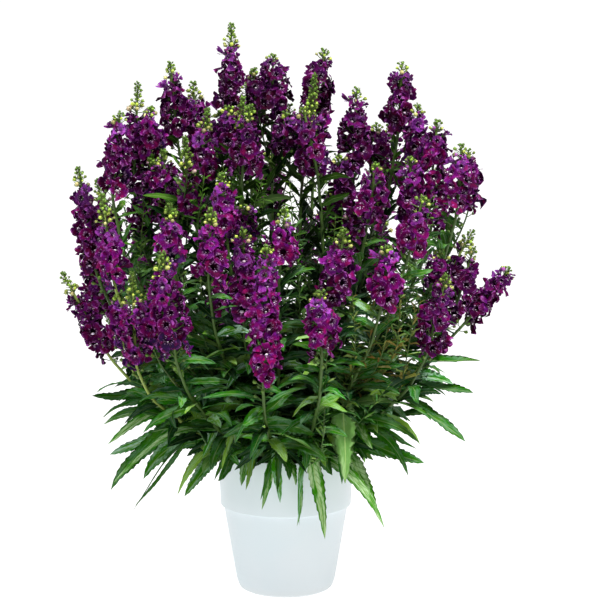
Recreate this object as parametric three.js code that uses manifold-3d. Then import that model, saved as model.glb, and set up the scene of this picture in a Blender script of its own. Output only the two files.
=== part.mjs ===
// Potted angelonia: a collared plastic pot filled with potting soil, and a bushy plant whose leafy stems
// end in racemes.
// Millimetres, +Z up, +X to the right and -Y to the front. The origin is the middle of the pot's underside.
import * as THREE from "three";
import { mergeVertices } from "three/addons/utils/BufferGeometryUtils.js";
import Module from "manifold-3d";

// Driving dimensions of the pot
const POT_HEIGHT = 158;
const RIM_RADIUS = 75.5;
const COLLAR_HEIGHT = 62; // from the rim down to the collar's lower edge
const COLLAR_FOOT = POT_HEIGHT - COLLAR_HEIGHT;
const COLLAR_FOOT_RADIUS = 72.5;
const COLLAR_STEP = 3.5; // how far the collar stands out from the body
const COLLAR_BEVEL = 1; // rise of the collar's lower edge
const COLLAR_FLARE = 3; // rise of the step inside it
const HEEL_RADIUS = 54.5; // the body where it turns under to the base
const HEEL_HEIGHT = 11;
const HEEL_TURN = 3; // where the wall starts to turn from the base to the heel, in and up
const BASE_RADIUS = 45;
const WALL = 2.2;
const FLOOR = 3;
const POT_SIDES = 24;
const DRAIN_HOLES = 5;
const DRAIN_RADIUS = 4.5;
const DRAIN_CIRCLE = 32;
const DRAIN_SIDES = 6;

// Driving dimensions of the soil
const SOIL_TOP = 146;
const SOIL_GAP = 0.6; // clear of the pot's facets
const SOIL_FLOOR_GAP = 0.3;
const SOIL_BASE_GAP = 2;
const SOIL_HEEL_GAP = 0.5;
const SOIL_EDGE_DEPTH = 5; // how far the soil drops to the wall
const SOIL_EDGE_WIDTH = 16; // over what width it drops
const CROWN_RADIUS = 4; // a woody stem base where it stands in the soil
const CROWN_DEPTH = 12;
const CROWN_RISE = 8;
const HOLE_GAP = 0.5;

// Driving dimensions of the stems and bud tips
const STEM_BASE_RADIUS = 2.4;
const STEM_FOOT_RADIUS = 1.6; // below the lowest florets
const STEM_BLOOM_RADIUS = 1.4; // among the florets
const STEM_BANDS = 3; // straight stretches of its arc
const BAND_STEPS = 20; // points kept on each, to find a place by length
const STEM_BEND = 0.25; // length of the upright end of a stem's arc, as a share of the stem
const BUD_WHORLS = [ // height as a share of the bud tip, and radius over the buds
  [0.16, 5.2],
  [0.5, 4.2],
  [0.8, 2.8],
];
const BUD_WAIST_RADIUS = 1.1;
const BUD_START = 1; // bare stem above the florets
const SHORT_BUDS = 18; // bud tips shorter than this have two whorls
const FULL_BUDS = 20; // bud tips shorter than this are slimmer

// Driving dimensions of the florets
const LEVEL_PITCH = 19; // rise from one pair of florets to the next
const LEVEL_TWIST = 12; // degrees
const SLEEVE_RADIUS = 4.2; // the florets' joined bases around the stem
const SLEEVE_TOP_RADIUS = 3.8;
const SLEEVE_GAP = 0.6; // between the sleeve's corners and the stem's
const FLORET_RADIUS = 14.2; // lowest florets of a raceme
const FLORET_TOP_SHARE = 0.62; // size of the highest florets against the lowest
const FLORET_REACH = 15.5; // from the sleeve to a floret's mouth
const FLORET_LEAST_REACH = 0.35; // the share of it that doesn't shrink with the floret
const FLORET_LIFT = 1.5; // a mouth above its place on the sleeve
const FLORET_LIFT_RANGE = 2;
const FLORET_NOD = 18; // degrees that a floret looks up
const FLORET_NOD_RANGE = 16;
const FLORET_SWING_RANGE = 0.22; // how far it looks to a side
const LOBE_REACH = [1.1, 1, 0.94, 0.94, 1]; // lower lobe, right, upper right, upper left, left
const NOTCH_REACH = 0.56;
const LOBE_LIFT = 0.16; // lobe tips in front of the mouth's plane, and notches behind it
const LOBE_LIFT_RANGE = 0.2;

// Driving dimensions of the leaves
const LEAF_LENGTH = 84; // lowest leaves
const LEAF_TOP_LENGTH = 34;
const LEAF_SLENDERNESS = 8.6; // length over half width
const MAX_HALF_WIDTH = 10;
const LEAF_LEAN = 35; // degrees that a side leaf's face leans to the front in front, and to the back behind
const LEAN_REACH = 30; // distance from the middle plane where the lean is full
const LEAF_THICKNESS = 1.6; // at the midrib
const NODE_PITCH = 29; // from one pair of leaves to the next
const FIRST_NODE = 16;
const TOP_CLEARANCE = 16; // bare stem below the florets
const TOOTHED_FROM = 64; // leaves shorter than this have a plain edge
const LARGE_LEAF = 57; // leaves shorter than this are too small to be solids here
const NODE_HALF_HEIGHT = 2;
const NODE_APART = 5; // nearest that two nodes of a stem come
const NODE_TO_BEND = 6; // nearest that a node comes to a bend of the stem
const LEAF_MAX_ALONG = 0.77; // cosine of the least angle between a leaf and its stem
const LEAF_MIN_FACING = 0.45; // cosine of the greatest angle between a leaf and the side it grows from
const LEAST_OUTWARD = 0.25; // cosine of the greatest angle between a leaf and the way out of the bush
const TOOTHED_EDGE = [[0.34, 1], [0.46, 0.78], [0.64, 0.74]]; // shares of the length and of the half width
const TOOTHED_RIB = [0.34, 0.66]; // shares of the length
const PLAIN_EDGE = [[0.4, 1]];
const PLAIN_RIB = [0.4];

// How leaves stand at the foot of the bush and at its top, and how much they differ among themselves
const RISE = 220; // height of the top's leaves above the soil
const LEAF_RISE_SHARE = 0.65; // how much of a leaf's size follows the height, the rest its place on the stem
const LEAF_LENGTH_RANGE = 0.2;
const ELEVATION = { low: 8, high: 38, range: 16 }; // degrees
const SAG = { low: 0.55, high: 0.35, range: 0.3 }; // as a share of the length
const ROLL_RANGE = 40; // degrees
const AZIMUTH_RANGE = 40;
const STEM_TURN = 47; // degrees from one stem's lowest leaves to the next stem's

// Room that things need
const CLEAR = 2;
const STEM_ROOM = 2.6;
const BLOOM_ROOM = 24; // lowest florets of a raceme
const BLOOM_TAPER = 7;
const BUD_ROOM = 7;
const FIRST_BLOOM = 12;
const BLOOM_PITCH = 6;
const RIM_ROOM = 2.5;
const RIM_SHARE = 0.3;
const LEAF_ROOM = [[0.2, 0.55], [0.34, 0.95], [0.5, 0.75], [0.64, 0.7], [0.8, 0.4], [1, 0.1]]; // as an edge
const LEAF_ROOM_ACROSS = [-0.65, 0, 0.65]; // shares of the half width
const LEAF_LEAST_ROOM = 1;
const LEAF_ROOM_SHARE = 0.3;
const OWN_REACH = 13; // a leaf may touch the stems of its own branch this near its root
const DODGES = [0, 18, -18, 36, -36, 55, -55]; // degrees that a leaf may turn to stay clear
const OUTER_DODGES = [0, 5, -5, 10, -10, 16, -16];

// Where each branch stands in the soil, and its racemes: lowest floret, tip of the buds, and the buds' share
const BRANCHES = {
  left: {
    crown: [-34, -4],
    racemes: [
      { foot: [-206, -25, 357], tip: [-225, -20, 475], buds: 0.22 },
      { foot: [-190, -50, 269], tip: [-240, -58, 364], buds: 0.28 },
      { foot: [-166, -5, 448], tip: [-160, 0, 565], buds: 0.31 },
      { foot: [-186, -54, 449], tip: [-176, -50, 536], buds: 0.18 },
    ],
  },
  front_left: {
    crown: [-28, -24],
    racemes: [
      { foot: [-180, -100, 352], tip: [-193, -97, 454], buds: 0.36 },
      { foot: [-157, -125, 273], tip: [-160, -125, 374], buds: 0.38 },
      { foot: [-113, -167, 288], tip: [-125, -167, 401], buds: 0.21 },
      { foot: [-116, -130, 385], tip: [-120, -126, 446], buds: 0.38 },
    ],
  },
  inner_left: {
    crown: [-15, -11],
    racemes: [
      { foot: [-79, -160, 368], tip: [-76, -155, 445], buds: 0.31 },
      { foot: [-60, -110, 395], tip: [-67, -105, 477], buds: 0.24 },
      { foot: [-96, -55, 451], tip: [-82, -50, 540], buds: 0.32 },
      { foot: [-127, -35, 416], tip: [-132, -30, 494], buds: 0.25 },
    ],
  },
  front: {
    crown: [-4, -34],
    racemes: [
      { foot: [-22, -205, 269], tip: [-17, -192, 411], buds: 0.1 },
      { foot: [-5, -144, 384], tip: [1, -140, 445], buds: 0.38 },
      { foot: [-46, -80, 466], tip: [-37, -75, 546], buds: 0.26 },
    ],
  },
  front_right: {
    crown: [15, -30],
    racemes: [
      { foot: [38, -210, 296], tip: [36, -204, 366], buds: 0.19 },
      { foot: [51, -155, 346], tip: [62, -148, 423], buds: 0.29 },
      { foot: [101, -156, 345], tip: [107, -150, 404], buds: 0.19 },
      { foot: [35, -60, 469], tip: [19, -55, 541], buds: 0.15 },
    ],
  },
  right_front: {
    crown: [31, -19],
    racemes: [
      { foot: [149, -105, 279], tip: [171, -100, 368], buds: 0.2 },
      { foot: [129, -120, 388], tip: [145, -115, 453], buds: 0.2 },
      { foot: [85, -100, 411], tip: [96, -95, 486], buds: 0.18 },
    ],
  },
  right: {
    crown: [36, 1],
    racemes: [
      { foot: [199, 0, 301], tip: [247, 5, 360], buds: 0.14 },
      { foot: [168, -30, 341], tip: [204, -25, 406], buds: 0.37 },
      { foot: [183, -64, 425], tip: [188, -60, 503], buds: 0.22 },
      { foot: [158, 0, 439], tip: [166, 5, 524], buds: 0.18 },
    ],
  },
  top_right: {
    crown: [14, 3],
    racemes: [
      { foot: [124, 30, 504], tip: [128, 35, 585], buds: 0.18 },
      { foot: [73, 5, 463], tip: [78, 10, 558], buds: 0.18 },
      { foot: [104, 67, 465], tip: [101, 72, 515], buds: 0.27 },
      { foot: [28, 0, 532], tip: [43, 0, 600], buds: 0.19 },
    ],
  },
  top_left: {
    crown: [-11, 10],
    racemes: [
      { foot: [-62, 20, 522], tip: [-59, 20, 628], buds: 0.28 },
      { foot: [-119, 16, 501], tip: [-126, 20, 586], buds: 0.23 },
      { foot: [-15, 42, 516], tip: [-14, 45, 592], buds: 0.12 },
      { foot: [-95, 85, 475], tip: [-105, 90, 560], buds: 0.25 },
      { foot: [-42, 115, 475], tip: [-45, 125, 560], buds: 0.22 },
    ],
  },
  back_right: {
    crown: [19, 27],
    racemes: [
      { foot: [32, 102, 490], tip: [35, 110, 575], buds: 0.2 },
      { foot: [110, 130, 430], tip: [120, 140, 510], buds: 0.25 },
      { foot: [163, 88, 385], tip: [175, 95, 465], buds: 0.22 },
      { foot: [22, 200, 325], tip: [25, 215, 405], buds: 0.2 },
      { foot: [105, 180, 320], tip: [115, 195, 400], buds: 0.28 },
      { foot: [190, 98, 290], tip: [215, 110, 370], buds: 0.24 },
    ],
  },
  back_left: {
    crown: [-15, 30],
    racemes: [
      { foot: [-18, 185, 395], tip: [-20, 195, 480], buds: 0.24 },
      { foot: [-88, 172, 365], tip: [-95, 185, 445], buds: 0.2 },
      { foot: [-138, 120, 405], tip: [-150, 130, 490], buds: 0.26 },
      { foot: [-158, 135, 305], tip: [-175, 150, 385], buds: 0.22 },
      { foot: [-200, 72, 290], tip: [-228, 82, 370], buds: 0.26 },
      { foot: [-194, 42, 362], tip: [-210, 47, 454], buds: 0.3 },
    ],
  },
};

// The long outer leaves: branch, raceme number there, millimetres up its stem, where the tip is, and how
// much the blade sags as a share of its length
const OUTER_LEAVES = [
  ["left", 0, 150, [-207, -45, 257], 0.4],
  ["left", 0, 130, [-212, -40, 226], 0.45],
  ["left", 0, 105, [-192, -55, 202], 0.5],
  ["front_left", 1, 115, [-190, -80, 178], 0.6],
  ["left", 1, 78, [-162, -75, 155], 0.7],
  ["front_left", 1, 130, [-186, -100, 142], 0.7],
  ["front_left", 1, 100, [-160, -100, 115], 0.8],
  ["front_left", 1, 50, [-117, -100, 131], 0.7],
  ["front_left", 2, 50, [-75, -108, 147], 0.6],
  ["front_left", 3, 90, [-88, -110, 178], 0.8],
  ["inner_left", 0, 60, [-45, -108, 138], 0.8],
  ["inner_left", 0, 95, [-55, -115, 192], 0.9],
  ["front", 1, 90, [-32, -125, 170], 0.9],
  ["front", 0, 46, [-26, -112, 122], 0.9],
  ["front", 0, 76, [-6, -128, 128], 0.9],
  ["front_right", 0, 46, [12, -108, 97], 1],
  ["front_right", 0, 76, [42, -120, 92], 1],
  ["front_right", 1, 92, [16, -125, 180], 0.9],
  ["front_right", 2, 110, [62, -132, 155], 1],
  ["right_front", 1, 90, [90, -112, 180], 0.8],
  ["right_front", 0, 46, [103, -98, 108], 0.9],
  ["right_front", 0, 56, [132, -95, 157], 0.6],
  ["right_front", 0, 66, [150, -75, 160], 0.5],
  ["right_front", 0, 92, [144, -75, 175], 0.5],
  ["right", 0, 110, [200, -40, 178], 0.6],
  ["right", 0, 130, [203, -40, 235], 0.4],
  ["right", 1, 150, [213, -25, 265], 0.35],
  ["right", 1, 130, [183, -62, 256], 0.4],
  ["right", 0, 72, [162, -45, 212], 0.45],
  ["back_right", 5, 70, [155, 85, 150], 0.7],
  ["back_right", 4, 60, [95, 125, 120], 0.8],
  ["back_right", 3, 50, [45, 130, 105], 0.9],
  ["back_right", 3, 80, [0, 135, 110], 0.9],
  ["back_left", 1, 60, [-45, 130, 115], 0.9],
  ["back_left", 3, 60, [-105, 120, 120], 0.8],
  ["back_left", 4, 70, [-150, 80, 135], 0.7],
  ["back_left", 4, 100, [-190, 60, 165], 0.6],
];

const COLOURS = {
  pot: { color: 0xe8eff6, roughness: 0.5, metalness: 0 },
  soil: { color: 0x33251b, roughness: 0.95, metalness: 0 },
  foliage: { color: 0x3f7a2c, roughness: 0.6, metalness: 0 },
  florets: { color: 0x6a1470, roughness: 0.65, metalness: 0 },
};

const wasm = await Module();
wasm.setup();
const UP = new THREE.Vector3(0, 0, 1);
const vec = (a) => new THREE.Vector3(...a);
const { degToRad: radians, radToDeg: degrees, lerp, clamp, euclideanModulo } = THREE.MathUtils;

// A repeatable draw between 0 and 1 for two whole numbers.
function draw(a, b) {
  const s = Math.sin(a * 12.9898 + b * 78.233) * 43758.5453;
  return s - Math.floor(s);
}

// A mesh geometry from points and triangles that index them.
function geometryOf(points, triangles) {
  const flat = points.flatMap((p) => [p.x, p.y, p.z]);
  return new THREE.BufferGeometry()
    .setAttribute("position", new THREE.Float32BufferAttribute(flat, 3))
    .setIndex(triangles.flat());
}

function solidOf(geometry) {
  const bare = geometry.clone();
  bare.deleteAttribute("normal");
  bare.deleteAttribute("uv");
  const merged = mergeVertices(bare, 1e-4);
  return new wasm.Manifold(
    new wasm.Mesh({
      numProp: 3,
      vertProperties: new Float32Array(merged.attributes.position.array),
      triVerts: new Uint32Array(merged.index.array),
    }),
  );
}

function geometryFrom(solid) {
  const mesh = solid.getMesh();
  return new THREE.BufferGeometry()
    .setAttribute("position", new THREE.Float32BufferAttribute(mesh.vertProperties, 3))
    .setIndex(Array.from(mesh.triVerts));
}

// The main body of a union, so that a sealed hollow between its members is filled.
function mainBody(solid) {
  return solid.decompose().reduce((largest, body) => (body.volume() > largest.volume() ? body : largest));
}

// A ring of corners around a centre, counter-clockwise about side x up.
function ring(centre, side, up, radius, corners, turn = 0) {
  return Array.from({ length: corners }, (_, i) => {
    const angle = radians(turn) + (i * 2 * Math.PI) / corners;
    return centre
      .clone()
      .addScaledVector(side, radius * Math.cos(angle))
      .addScaledVector(up, radius * Math.sin(angle));
  });
}

// A closed body through rings that have equally many corners, with flat ends.
function loft(rings) {
  const corners = rings[0].length;
  const triangles = [];
  for (let start = 0; start < corners * (rings.length - 1); start += corners) {
    for (let i = 0; i < corners; i++) {
      const [a, b] = [start + i, start + ((i + 1) % corners)];
      triangles.push([a, b, b + corners], [a, b + corners, a + corners]);
    }
  }
  const top = corners * (rings.length - 1);
  for (let i = 1; i + 1 < corners; i++) triangles.push([0, i + 1, i]);
  for (let i = 1; i + 1 < corners; i++) triangles.push([top, top + i, top + i + 1]);
  return geometryOf(rings.flat(), triangles);
}

// The pot

// Radius of the pot's body at a height, from its heel to its collar.
function bodyRadius(z) {
  const share = (z - HEEL_HEIGHT) / (COLLAR_FOOT - HEEL_HEIGHT);
  return lerp(HEEL_RADIUS, COLLAR_FOOT_RADIUS - COLLAR_STEP, share);
}

// A solid turned about the Z axis from a profile of radii and heights.
function turnedSolid(profile) {
  const points = profile.map(([r, z]) => new THREE.Vector2(r, z));
  return solidOf(new THREE.LatheGeometry(points, POT_SIDES).rotateX(Math.PI / 2));
}

function potSolid() {
  let pot = turnedSolid([
    [0, 0],
    [BASE_RADIUS, 0],
    [HEEL_RADIUS - HEEL_TURN, HEEL_TURN],
    [HEEL_RADIUS, HEEL_HEIGHT],
    [bodyRadius(COLLAR_FOOT), COLLAR_FOOT],
    [COLLAR_FOOT_RADIUS, COLLAR_FOOT + COLLAR_BEVEL],
    [RIM_RADIUS, POT_HEIGHT],
    [RIM_RADIUS - WALL, POT_HEIGHT],
    [COLLAR_FOOT_RADIUS - WALL, COLLAR_FOOT + COLLAR_FLARE],
    [bodyRadius(COLLAR_FOOT) - WALL, COLLAR_FOOT],
    [HEEL_RADIUS - WALL, HEEL_HEIGHT],
    [BASE_RADIUS, FLOOR],
    [0, FLOOR],
  ]);
  for (let i = 0; i < DRAIN_HOLES; i++) {
    const angle = (i + 0.5) * ((2 * Math.PI) / DRAIN_HOLES);
    const hole = new THREE.CylinderGeometry(DRAIN_RADIUS, DRAIN_RADIUS, 4 * FLOOR, DRAIN_SIDES)
      .rotateX(Math.PI / 2)
      .translate(DRAIN_CIRCLE * Math.cos(angle), DRAIN_CIRCLE * Math.sin(angle), FLOOR / 2);
    pot = pot.subtract(solidOf(hole));
  }
  return pot;
}

// The soil

function soilSolid() {
  const shrink = Math.cos(Math.PI / POT_SIDES);
  const inside = (r) => (r - WALL) * shrink - SOIL_GAP;
  const edge = inside(lerp(COLLAR_FOOT_RADIUS, RIM_RADIUS, (SOIL_TOP - COLLAR_FOOT) / COLLAR_HEIGHT));
  let soil = turnedSolid([
    [0, FLOOR + SOIL_FLOOR_GAP],
    [BASE_RADIUS - SOIL_BASE_GAP, FLOOR + SOIL_FLOOR_GAP],
    [inside(HEEL_RADIUS) - SOIL_HEEL_GAP, HEEL_HEIGHT + SOIL_HEEL_GAP],
    [inside(bodyRadius(COLLAR_FOOT)), COLLAR_FOOT],
    [edge - SOIL_GAP, SOIL_TOP - SOIL_EDGE_DEPTH],
    [edge - SOIL_EDGE_WIDTH, SOIL_TOP],
    [0, SOIL_TOP],
  ]);
  for (const { crown } of Object.values(BRANCHES)) soil = soil.subtract(crownBody(crown, HOLE_GAP));
  return soil;
}

// The woody base of a branch, or with a gap the plain hole that it stands in.
function crownBody([x, y], gap) {
  const [right, back] = [vec([1, 0, 0]), vec([0, 1, 0])];
  const levels = [SOIL_TOP - CROWN_DEPTH - gap, SOIL_TOP + CROWN_RISE];
  return solidOf(loft(levels.map((z) => ring(vec([x, y, z]), right, back, CROWN_RADIUS + gap, 4))));
}

// Stems

// A stem arcs in one plane from its crown to the lowest floret, and runs straight on to its tip.
function makeStem(branch, number, serial, crown, { foot, tip, buds }) {
  const base = new THREE.Vector3(crown[0], crown[1], SOIL_TOP + CROWN_RISE / 2);
  const [low, high] = [vec(foot), vec(tip)];
  const axis = high.clone().sub(low).normalize();
  const bend = low.clone().addScaledVector(axis, -STEM_BEND * low.distanceTo(base));
  const curve = new THREE.QuadraticBezierCurve3(base, bend, low);
  const side = bend.clone().sub(base).cross(axis).normalize();
  const bloom = low.distanceTo(high) * (1 - buds);
  return { branch, number, serial, base, low, high, axis, side, bloom, arc: arcPoints(curve), nodes: [] };
}

// Points along the straight bands of an arc, with the length to each.
function arcPoints(curve) {
  const found = [];
  let length = 0;
  for (let i = 0; i <= STEM_BANDS * BAND_STEPS; i++) {
    const band = Math.min(STEM_BANDS - 1, Math.floor(i / BAND_STEPS));
    const [from, to] = [band, band + 1].map((b) => curve.getPoint(b / STEM_BANDS));
    const point = from.lerp(to, i / BAND_STEPS - band);
    if (i > 0) length += point.distanceTo(found[i - 1].point);
    found.push({ point, length });
  }
  return found;
}

// A place on a stem by the length up to it, with the direction there.
function placeOn(stem, height) {
  const total = stem.arc.at(-1).length;
  if (height >= total) {
    return { point: stem.low.clone().addScaledVector(stem.axis, height - total), along: stem.axis.clone() };
  }
  const next = Math.max(1, stem.arc.findIndex((p) => p.length >= height));
  const [from, to] = [stem.arc[next - 1], stem.arc[next]];
  const share = (height - from.length) / (to.length - from.length);
  const along = to.point.clone().sub(from.point).normalize();
  return { point: from.point.clone().lerp(to.point, share), along };
}

// The angle nearest to another that turns a square ring the same way.
function nearestTurn(turn, other) {
  return other + euclideanModulo(turn - other + 45, 90) - 45;
}

// The square rings that a stem is made of: its bands, two rings for each node with leaves, and its buds.
function stemStations(stem) {
  const total = stem.arc.at(-1).length;
  const radiusAt = (height) => lerp(STEM_BASE_RADIUS, STEM_FOOT_RADIUS, Math.min(1, height / total));
  const stations = [{ height: 0, radius: radiusAt(0), turn: 0 }];
  for (const node of stem.nodes) {
    const up = placeOn(stem, node.height).along.cross(stem.side);
    const out = node.leaves[0].along;
    const turn = degrees(Math.atan2(out.dot(up), out.dot(stem.side))) - 45;
    for (const end of [-1, 1]) {
      const height = node.height + end * NODE_HALF_HEIGHT;
      stations.push({ height, radius: radiusAt(height), turn, leaves: end < 0 ? node.leaves : [] });
    }
  }
  for (let band = 1; band < STEM_BANDS; band++) {
    const height = stem.arc[band * BAND_STEPS].length;
    if (stem.nodes.every((node) => Math.abs(node.height - height) > NODE_TO_BEND))
      stations.push({ height, radius: radiusAt(height) });
  }
  stations.push({ height: total, radius: STEM_FOOT_RADIUS, turn: 0 });
  stations.push({ height: total + stem.bloom + BUD_START, radius: STEM_BLOOM_RADIUS, turn: 0 });
  const budLength = stem.low.distanceTo(stem.high) - stem.bloom;
  const whorls = budLength > SHORT_BUDS ? BUD_WHORLS : BUD_WHORLS.slice(0, 2);
  const spread = Math.min(1, 0.5 + (0.5 * budLength) / FULL_BUDS);
  whorls.forEach(([share, radius], i) => {
    const height = total + stem.bloom + share * budLength;
    stations.push({ height, radius: radius * spread, turn: 45 * (i % 2) });
    if (i + 1 === whorls.length) return;
    const waist = total + stem.bloom + ((share + whorls[i + 1][0]) / 2) * budLength;
    stations.push({ height: waist, radius: BUD_WAIST_RADIUS, turn: 45 * (i % 2) });
  });
  return stations.sort((a, b) => a.height - b.height);
}

// A stem with its leaves and buds as one closed body. Each leaf grows out of one side of the stem.
function stemGeometry(stem) {
  const points = [];
  const triangles = [];
  const keep = (found) => found.map((p) => points.push(p) - 1);
  const stations = stemStations(stem);
  let turn = 0;
  for (const station of stations) {
    const { point, along } = placeOn(stem, station.height);
    const up = along.clone().cross(stem.side);
    turn = nearestTurn(station.turn ?? turn, turn);
    station.turn = turn;
    station.ring = keep(ring(point, stem.side, up, station.radius, 4, turn));
  }
  triangles.push([0, 2, 1], [0, 3, 2]);
  for (let k = 0; k + 1 < stations.length; k++) {
    const [low, high] = [stations[k], stations[k + 1]];
    const taken = new Map();
    for (const leaf of low.leaves ?? []) {
      const face = facing(stem, low, leaf, taken);
      if (face >= 0) taken.set(face, leaf);
    }
    for (let i = 0; i < 4; i++) {
      const j = (i + 1) % 4;
      const quad = [low.ring[i], low.ring[j], high.ring[j], high.ring[i]];
      if (taken.has(i)) addLeaf(taken.get(i), quad, points, triangles);
      else triangles.push(...halves(quad, high.turn > low.turn));
    }
  }
  const last = stations.at(-1).ring;
  const [tip] = keep([stem.high.clone()]);
  for (let i = 0; i < 4; i++) triangles.push([last[i], last[(i + 1) % 4], tip]);
  return geometryOf(points, triangles);
}

// The two triangles of a quadrilateral, cut from its second corner to its fourth, or first to third.
function halves([a, b, c, d], fromSecond) {
  return fromSecond ? [[a, b, d], [b, c, d]] : [[a, b, c], [a, c, d]];
}

// The free side of a stem that looks the way a leaf goes, or -1.
function facing(stem, station, leaf, taken) {
  const { along } = placeOn(stem, station.height);
  const up = along.clone().cross(stem.side);
  let best = -1;
  let most = LEAF_MIN_FACING;
  for (let i = 0; i < 4; i++) {
    const angle = radians(station.turn + 45 + 90 * i);
    const out = stem.side.clone().multiplyScalar(Math.cos(angle)).addScaledVector(up, Math.sin(angle));
    if (!taken.has(i) && out.dot(leaf.along) > most) [best, most] = [i, out.dot(leaf.along)];
  }
  return best;
}

// Racemes

// Joins two rings of corners that run the same way round, given each corner's angle, by the shortest steps.
function bridge(a, anglesA, b, anglesB) {
  const turn = 2 * Math.PI;
  const start = anglesA[0] - Math.PI / a.length;
  const ahead = (angle) => euclideanModulo(angle - start, turn);
  const apart = (angle) => Math.abs(ahead(angle) - ahead(anglesA[0]));
  const first = anglesB.reduce((best, angle, i) => (apart(angle) < apart(anglesB[best]) ? i : best), 0);
  const nextOf = (angles, from, i) =>
    ahead(angles[(from + i + 1) % angles.length]) + (i + 1 < angles.length ? 0 : turn);
  const triangles = [];
  let [i, j] = [0, 0];
  while (i < a.length || j < b.length) {
    const [here, there] = [a[i % a.length], b[(first + j) % b.length]];
    if (j >= b.length || (i < a.length && nextOf(anglesA, 0, i) <= nextOf(anglesB, first, j))) {
      triangles.push([here, a[(i + 1) % a.length], there]);
      i++;
    } else {
      triangles.push([here, b[(first + j + 1) % b.length], there]);
      j++;
    }
  }
  return triangles;
}

// A raceme's florets: pairs on opposite sides, each pair across the one below, on a sleeve around the stem.
function racemeGeometry(stem) {
  const levels = Math.max(2, Math.round(stem.bloom / LEVEL_PITCH));
  const pitch = stem.bloom / levels;
  const up = stem.axis.clone().cross(stem.side);
  const points = [];
  const triangles = [];
  const keep = (found) => found.map((p) => points.push(p) - 1);
  const at = (height) => stem.low.clone().addScaledVector(stem.axis, height);
  const squareAngles = (turn) => [0, 1, 2, 3].map((i) => radians(turn) + (i * Math.PI) / 2);
  const rings = [];
  for (let k = 0; k <= levels; k++) {
    const radius = lerp(SLEEVE_RADIUS, SLEEVE_TOP_RADIUS, k / levels);
    rings.push(keep(ring(at(k * pitch), stem.side, up, radius, 4, k * LEVEL_TWIST)));
  }
  for (let k = 0; k < levels; k++) {
    for (let c = 0; c < 4; c++) {
      const d = (c + 1) % 4;
      const quad = [rings[k][c], rings[k][d], rings[k + 1][d], rings[k + 1][c]];
      if ((c + k) % 2) triangles.push(...halves(quad, true));
      else addFloret(stem, k / (levels - 1), k * 4 + c, quad, points, triangles);
    }
  }
  const boreRadius = STEM_FOOT_RADIUS + SLEEVE_GAP;
  const bore = [0, levels * pitch].map((height) => keep(ring(at(height), stem.side, up, boreRadius, 4)));
  for (let i = 0; i < 4; i++) {
    const j = (i + 1) % 4;
    triangles.push([bore[0][i], bore[1][j], bore[0][j]], [bore[0][i], bore[1][i], bore[1][j]]);
  }
  const square = squareAngles(0);
  const topTurn = nearestTurn(levels * LEVEL_TWIST, 0);
  const shift = Math.round((levels * LEVEL_TWIST - topTurn) / 90);
  const top = rings[levels].map((_, i) => rings[levels][euclideanModulo(i - shift, 4)]);
  triangles.push(...bridge(rings[0], square, bore[0], square).map(([p, q, r]) => [p, r, q]));
  triangles.push(...bridge(top, squareAngles(topTurn), bore[1], square));
  return geometryOf(points, triangles);
}

// One floret on a quadrilateral of the sleeve: a throat that widens to five lobes, two above and three
// below. The share is its height on the raceme, from 0 to 1.
function addFloret(stem, share, place, quad, points, triangles) {
  const [a, b, , d] = quad.map((i) => points[i]);
  const middle = quad.reduce((sum, i) => sum.add(points[i]), new THREE.Vector3()).multiplyScalar(0.25);
  const outward = b.clone().sub(a).cross(d.clone().sub(a)).normalize();
  const size = lerp(1, FLORET_TOP_SHARE, share);
  const jitter = (n) => draw(stem.serial * 40 + place, n) - 0.5;
  const across = stem.axis.clone().cross(outward).normalize();
  const nod = radians(FLORET_NOD + FLORET_NOD_RANGE * jitter(1));
  const facing = outward.clone().multiplyScalar(Math.cos(nod)).addScaledVector(stem.axis, Math.sin(nod));
  facing.addScaledVector(across, FLORET_SWING_RANGE * jitter(2)).normalize();
  const radius = FLORET_RADIUS * size;
  const reach = FLORET_REACH * lerp(size, 1, FLORET_LEAST_REACH);
  const centre = middle.clone().addScaledVector(outward, reach);
  centre.addScaledVector(stem.axis, FLORET_LIFT + FLORET_LIFT_RANGE * jitter(3));
  const right = stem.axis.clone().cross(facing).normalize();
  const top = facing.clone().cross(right);
  const corners = 2 * LOBE_REACH.length;
  const rim = [];
  const angles = [];
  for (let j = 0; j < corners; j++) {
    const lobe = j % 2 === 0;
    const angle = radians(270 + (360 / corners) * j);
    const out = radius * (lobe ? LOBE_REACH[j / 2] : NOTCH_REACH);
    const ahead = radius * (lobe ? LOBE_LIFT + LOBE_LIFT_RANGE * jitter(4 + j) : -LOBE_LIFT);
    const point = centre
      .clone()
      .addScaledVector(right, out * Math.cos(angle))
      .addScaledVector(top, out * Math.sin(angle))
      .addScaledVector(facing, ahead);
    rim.push(points.push(point) - 1);
    angles.push(angle);
  }
  triangles.push(...bridge(quad, [225, 315, 405, 495].map(radians), rim, angles));
  for (let j = 0; j < corners; j += 2) triangles.push([rim.at(j - 1), rim[j], rim[j + 1]]);
  for (const j of [3, 5, 7]) triangles.push([rim[1], rim[j], rim[j + 2]]);
}

// Leaves

// A leaf's place: its root, direction, half width, and how far its tip sags. Its face leans out of the bush,
// and a roll turns it further.
function leafAlong(root, along, length, sag, roll) {
  const azimuth = Math.atan2(along.y, along.x);
  const outside = clamp(-root.y / LEAN_REACH, -1, 1);
  const side = new THREE.Vector3(-Math.sin(azimuth), Math.cos(azimuth), 0);
  side.applyAxisAngle(along, radians(roll + LEAF_LEAN * outside * Math.cos(azimuth)));
  return { root, along, side, length, sag, halfWidth: Math.min(MAX_HALF_WIDTH, length / LEAF_SLENDERNESS) };
}

function leafAt(root, azimuth, elevation, length, sag, roll) {
  const [az, el] = [radians(azimuth), radians(elevation)];
  const along = new THREE.Vector3(Math.cos(az) * Math.cos(el), Math.sin(az) * Math.cos(el), Math.sin(el));
  return leafAlong(root, along, length, sag, roll);
}

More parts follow.
